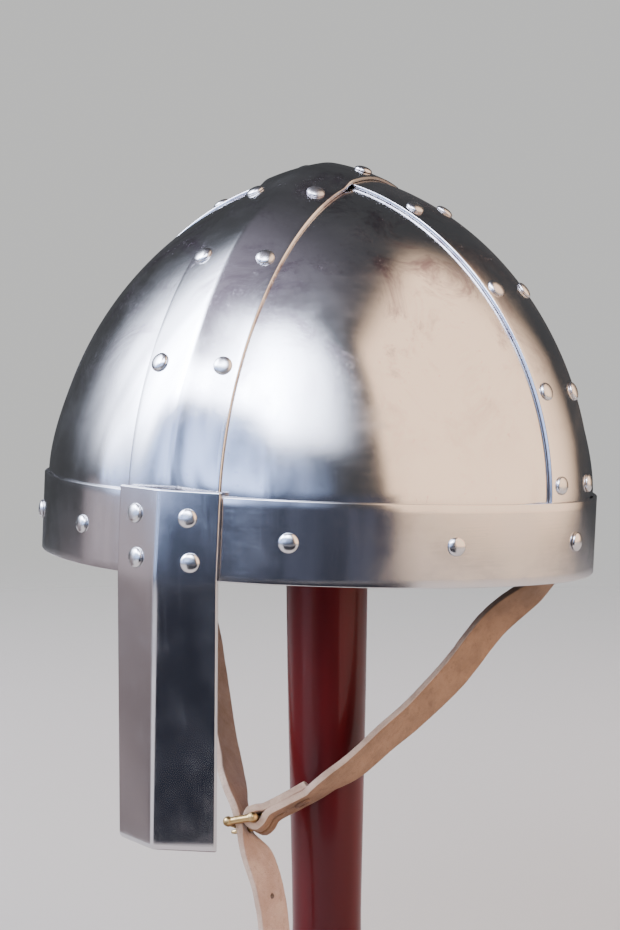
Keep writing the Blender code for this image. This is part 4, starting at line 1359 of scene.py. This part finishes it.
# %% [markdown]
# ## Light
#
# Polished steel shows what stands around it more than it shows itself, so its light is built as a
# studio: soft panels that stand round the helm, each fading slowly at its edges. Two tall windows
# stand to the left and in front, with thin curtains whose folds leave faint upright streaks. Their
# mirror images are bright, so a separate, milder panel gives the light that falls from them. A
# dimmer cool panel stands under the front one, a warm wall fills the right, and a pale lilac one
# hangs overhead. Small cards lie low and near in front: a lilac one that lifts the brow band's
# left, and dim and dark ones that keep the flanks of the nasal deep. All of them are hidden from
# the camera, and only light and reflections tell of them.

# %% What a panel is
HELM_HEIGHT = 0.2  # of the rim over the stand's foot, rounded
UV_CORNERS = ((0, 0), (1, 0), (1, 1), (0, 1))
FOLD_STRETCH, FOLD_SCALE = (1, 0.05, 1), 26


def panel(name, corners, color, strength, fades, folds=0.0, mirrored=True, lights=True):
    """A glowing sheet. `fades` are the shares of it that fade to clear: left, right, bottom, top."""
    mesh = new_mesh(name, corners, [(0, 1, 2, 3)])
    unwrapped = mesh.uv_layers.new(name="across and up")
    for loop, spot in zip(unwrapped.data, UV_CORNERS):
        loop.uv = spot
    material = bpy.data.materials.new(name)
    material.use_nodes = True
    tree = material.node_tree
    tree.nodes.clear()
    sheet_place = add(tree, "ShaderNodeTexCoord")["UV"]
    place = add(tree, "ShaderNodeSeparateXYZ", {"Vector": sheet_place})
    u, v = Term(tree, place["X"]), Term(tree, place["Y"])
    left, right, bottom, top = fades
    share = u.between(0, left) * v.between(0, bottom)
    share = share * (1 - u).between(0, right) * (1 - v).between(0, top)
    inputs = {"Vector": sheet_place, "Scale": FOLD_STRETCH}
    streaked = add(tree, "ShaderNodeMapping", inputs)["Vector"]
    fold = speckle(tree, streaked, FOLD_SCALE, 2, 0.6).between(0.35, 0.65, to=(1.0, 1.0 - folds))
    inputs = {"Color": (*color, 1), "Strength": fold * strength}
    glow = add(tree, "ShaderNodeEmission", inputs)[0]
    clear = add(tree, "ShaderNodeBsdfTransparent")[0]
    faded = add(tree, "ShaderNodeMixShader", {0: share ** 2, 1: clear, 2: glow})[0]
    output = tree.nodes.new("ShaderNodeOutputMaterial")
    put(tree, output.inputs["Surface"], faded)
    mesh.materials.append(material)
    card = bpy.data.objects.new(name, mesh)
    card.visible_camera = False
    card.visible_glossy = mirrored
    card.visible_diffuse = card.visible_shadow = lights
    bpy.context.scene.collection.objects.link(card)


def upright(turns, rises, distance):
    """Corners of an upright sheet. `turns` go from -Y towards +X, `rises` up from the helm's rim."""
    middle, half = radians(sum(turns) / 2), radians((turns[1] - turns[0]) / 2)
    out = Vector((sin(middle), -cos(middle), 0)) * distance
    side = Vector((cos(middle), sin(middle), 0)) * distance * np.tan(half)
    low, high = (Vector((0, 0, HELM_HEIGHT + distance * np.tan(radians(rise)))) for rise in rises)
    return [out - side + low, out + side + low, out + side + high, out - side + high]


sheet = upright((-45, 45), (0, 30), 2.0)
print(f"a sheet from -45 to 45 degrees, 2 m away, is {(sheet[1] - sheet[0]).length:.1f} m wide")

# %% Windows, wall and ceiling
WHITE, SKY, COOL = (0.86, 0.89, 1.0), (0.76, 0.83, 1.0), (0.46, 0.61, 1.0)
WARM, LILAC = (1.0, 0.69, 0.46), (0.86, 0.79, 1.0)
DUSK, ROSE, SLATE, INK = (1.0, 0.83, 0.86), (1.0, 0.87, 0.93), (0.60, 0.68, 1.0), (0.5, 0.55, 0.8)
MIRRORED, LIGHTS, BOTH = {"lights": False}, {"mirrored": False}, {}
# Name, turns and rises in degrees, distance in metres, colour, strength, shares that fade (left,
# right, bottom, top), depth of the folds, and whether it is mirrored, gives light, or both.
PANELS = (
    ("left window", (-120, -28), (-5, 66), 2.4, SKY, 60, (0.90, 0.10, 0.3, 0.3), 0.5, MIRRORED),
    ("front window", (-46, 57), (20, 72), 2.3, SKY, 33, (0.12, 0.45, 0.14, 0.75), 0.4, MIRRORED),
    ("light of the windows", (-120, 40), (-2, 64), 2.2, WHITE, 6.4, (0.2, 0.2, 0.2, 0.2), 0.0, LIGHTS),
    ("cool panel", (-75, 50), (-14, 40), 1.9, COOL, 4.6, (0.15, 0.45, 0.3, 0.3), 0.9, MIRRORED),
    ("warm wall", (60, 165), (-9, 70), 1.4, WARM, 2.9, (0.004, 0.4, 0.02, 0.4), 0.0, BOTH),
    ("dim card", (-98, -40), (-32, 6), 0.3, DUSK, 0.46, (0.3, 0.2, 0.04, 0.4), 0.6, MIRRORED),
    ("lilac card", (-79, -44), (-12, 8), 0.45, ROSE, 1.05, (0.15, 0.2, 0.2, 0.35), 0.7, MIRRORED),
    ("cool card", (-10, 62), (-12, 6), 0.6, SLATE, 0.19, (0.1, 0.02, 0.1, 0.3), 0.8, MIRRORED),
    ("dark card", (0, 64), (-33, -6), 0.3, INK, 0.05, (0.04, 0.04, 0.02, 0.15), 0.0, MIRRORED),
)
OVERHEAD = ((-1.6, 1.2, 2.1), (-1.6, -2.4, 2.1), (1.5, -2.4, 2.1), (1.5, 1.2, 2.1))

for name, turns, rises, distance, color, strength, fades, folds, rays in PANELS:
    panel(name, upright(turns, rises, distance), color, strength, fades, folds, **rays)
panel("ceiling panel", OVERHEAD, LILAC, 0.9, (0.6, 0.2, 0.3, 0.7))
print("panels and cards:", ", ".join(row[0] for row in PANELS), "and one overhead")

# %% [markdown]
# ## Camera
#
# The camera stands a little to the helm's left and looks slightly down, with a long lens.

# %% Camera
SENSOR, LENS = 36, 89.05  # millimetres
STANDPOINT, YAW, PITCH = (0.41410, -0.78273, 0.28432), radians(-28.304), radians(-3.517)

camera = bpy.data.cameras.new("camera")
camera.sensor_fit, camera.sensor_height, camera.lens = "VERTICAL", SENSOR, LENS
view_way = Vector((sin(YAW) * cos(PITCH), cos(YAW) * cos(PITCH), sin(PITCH)))
viewer = bpy.data.objects.new("camera", camera)
viewer.location = STANDPOINT
viewer.rotation_euler = view_way.to_track_quat("-Z", "Y").to_euler()
bpy.context.scene.collection.objects.link(viewer)
bpy.context.scene.camera = viewer
print(f"camera {Vector(STANDPOINT).length:.2f} m from the foot of the stand, lens {LENS} mm")
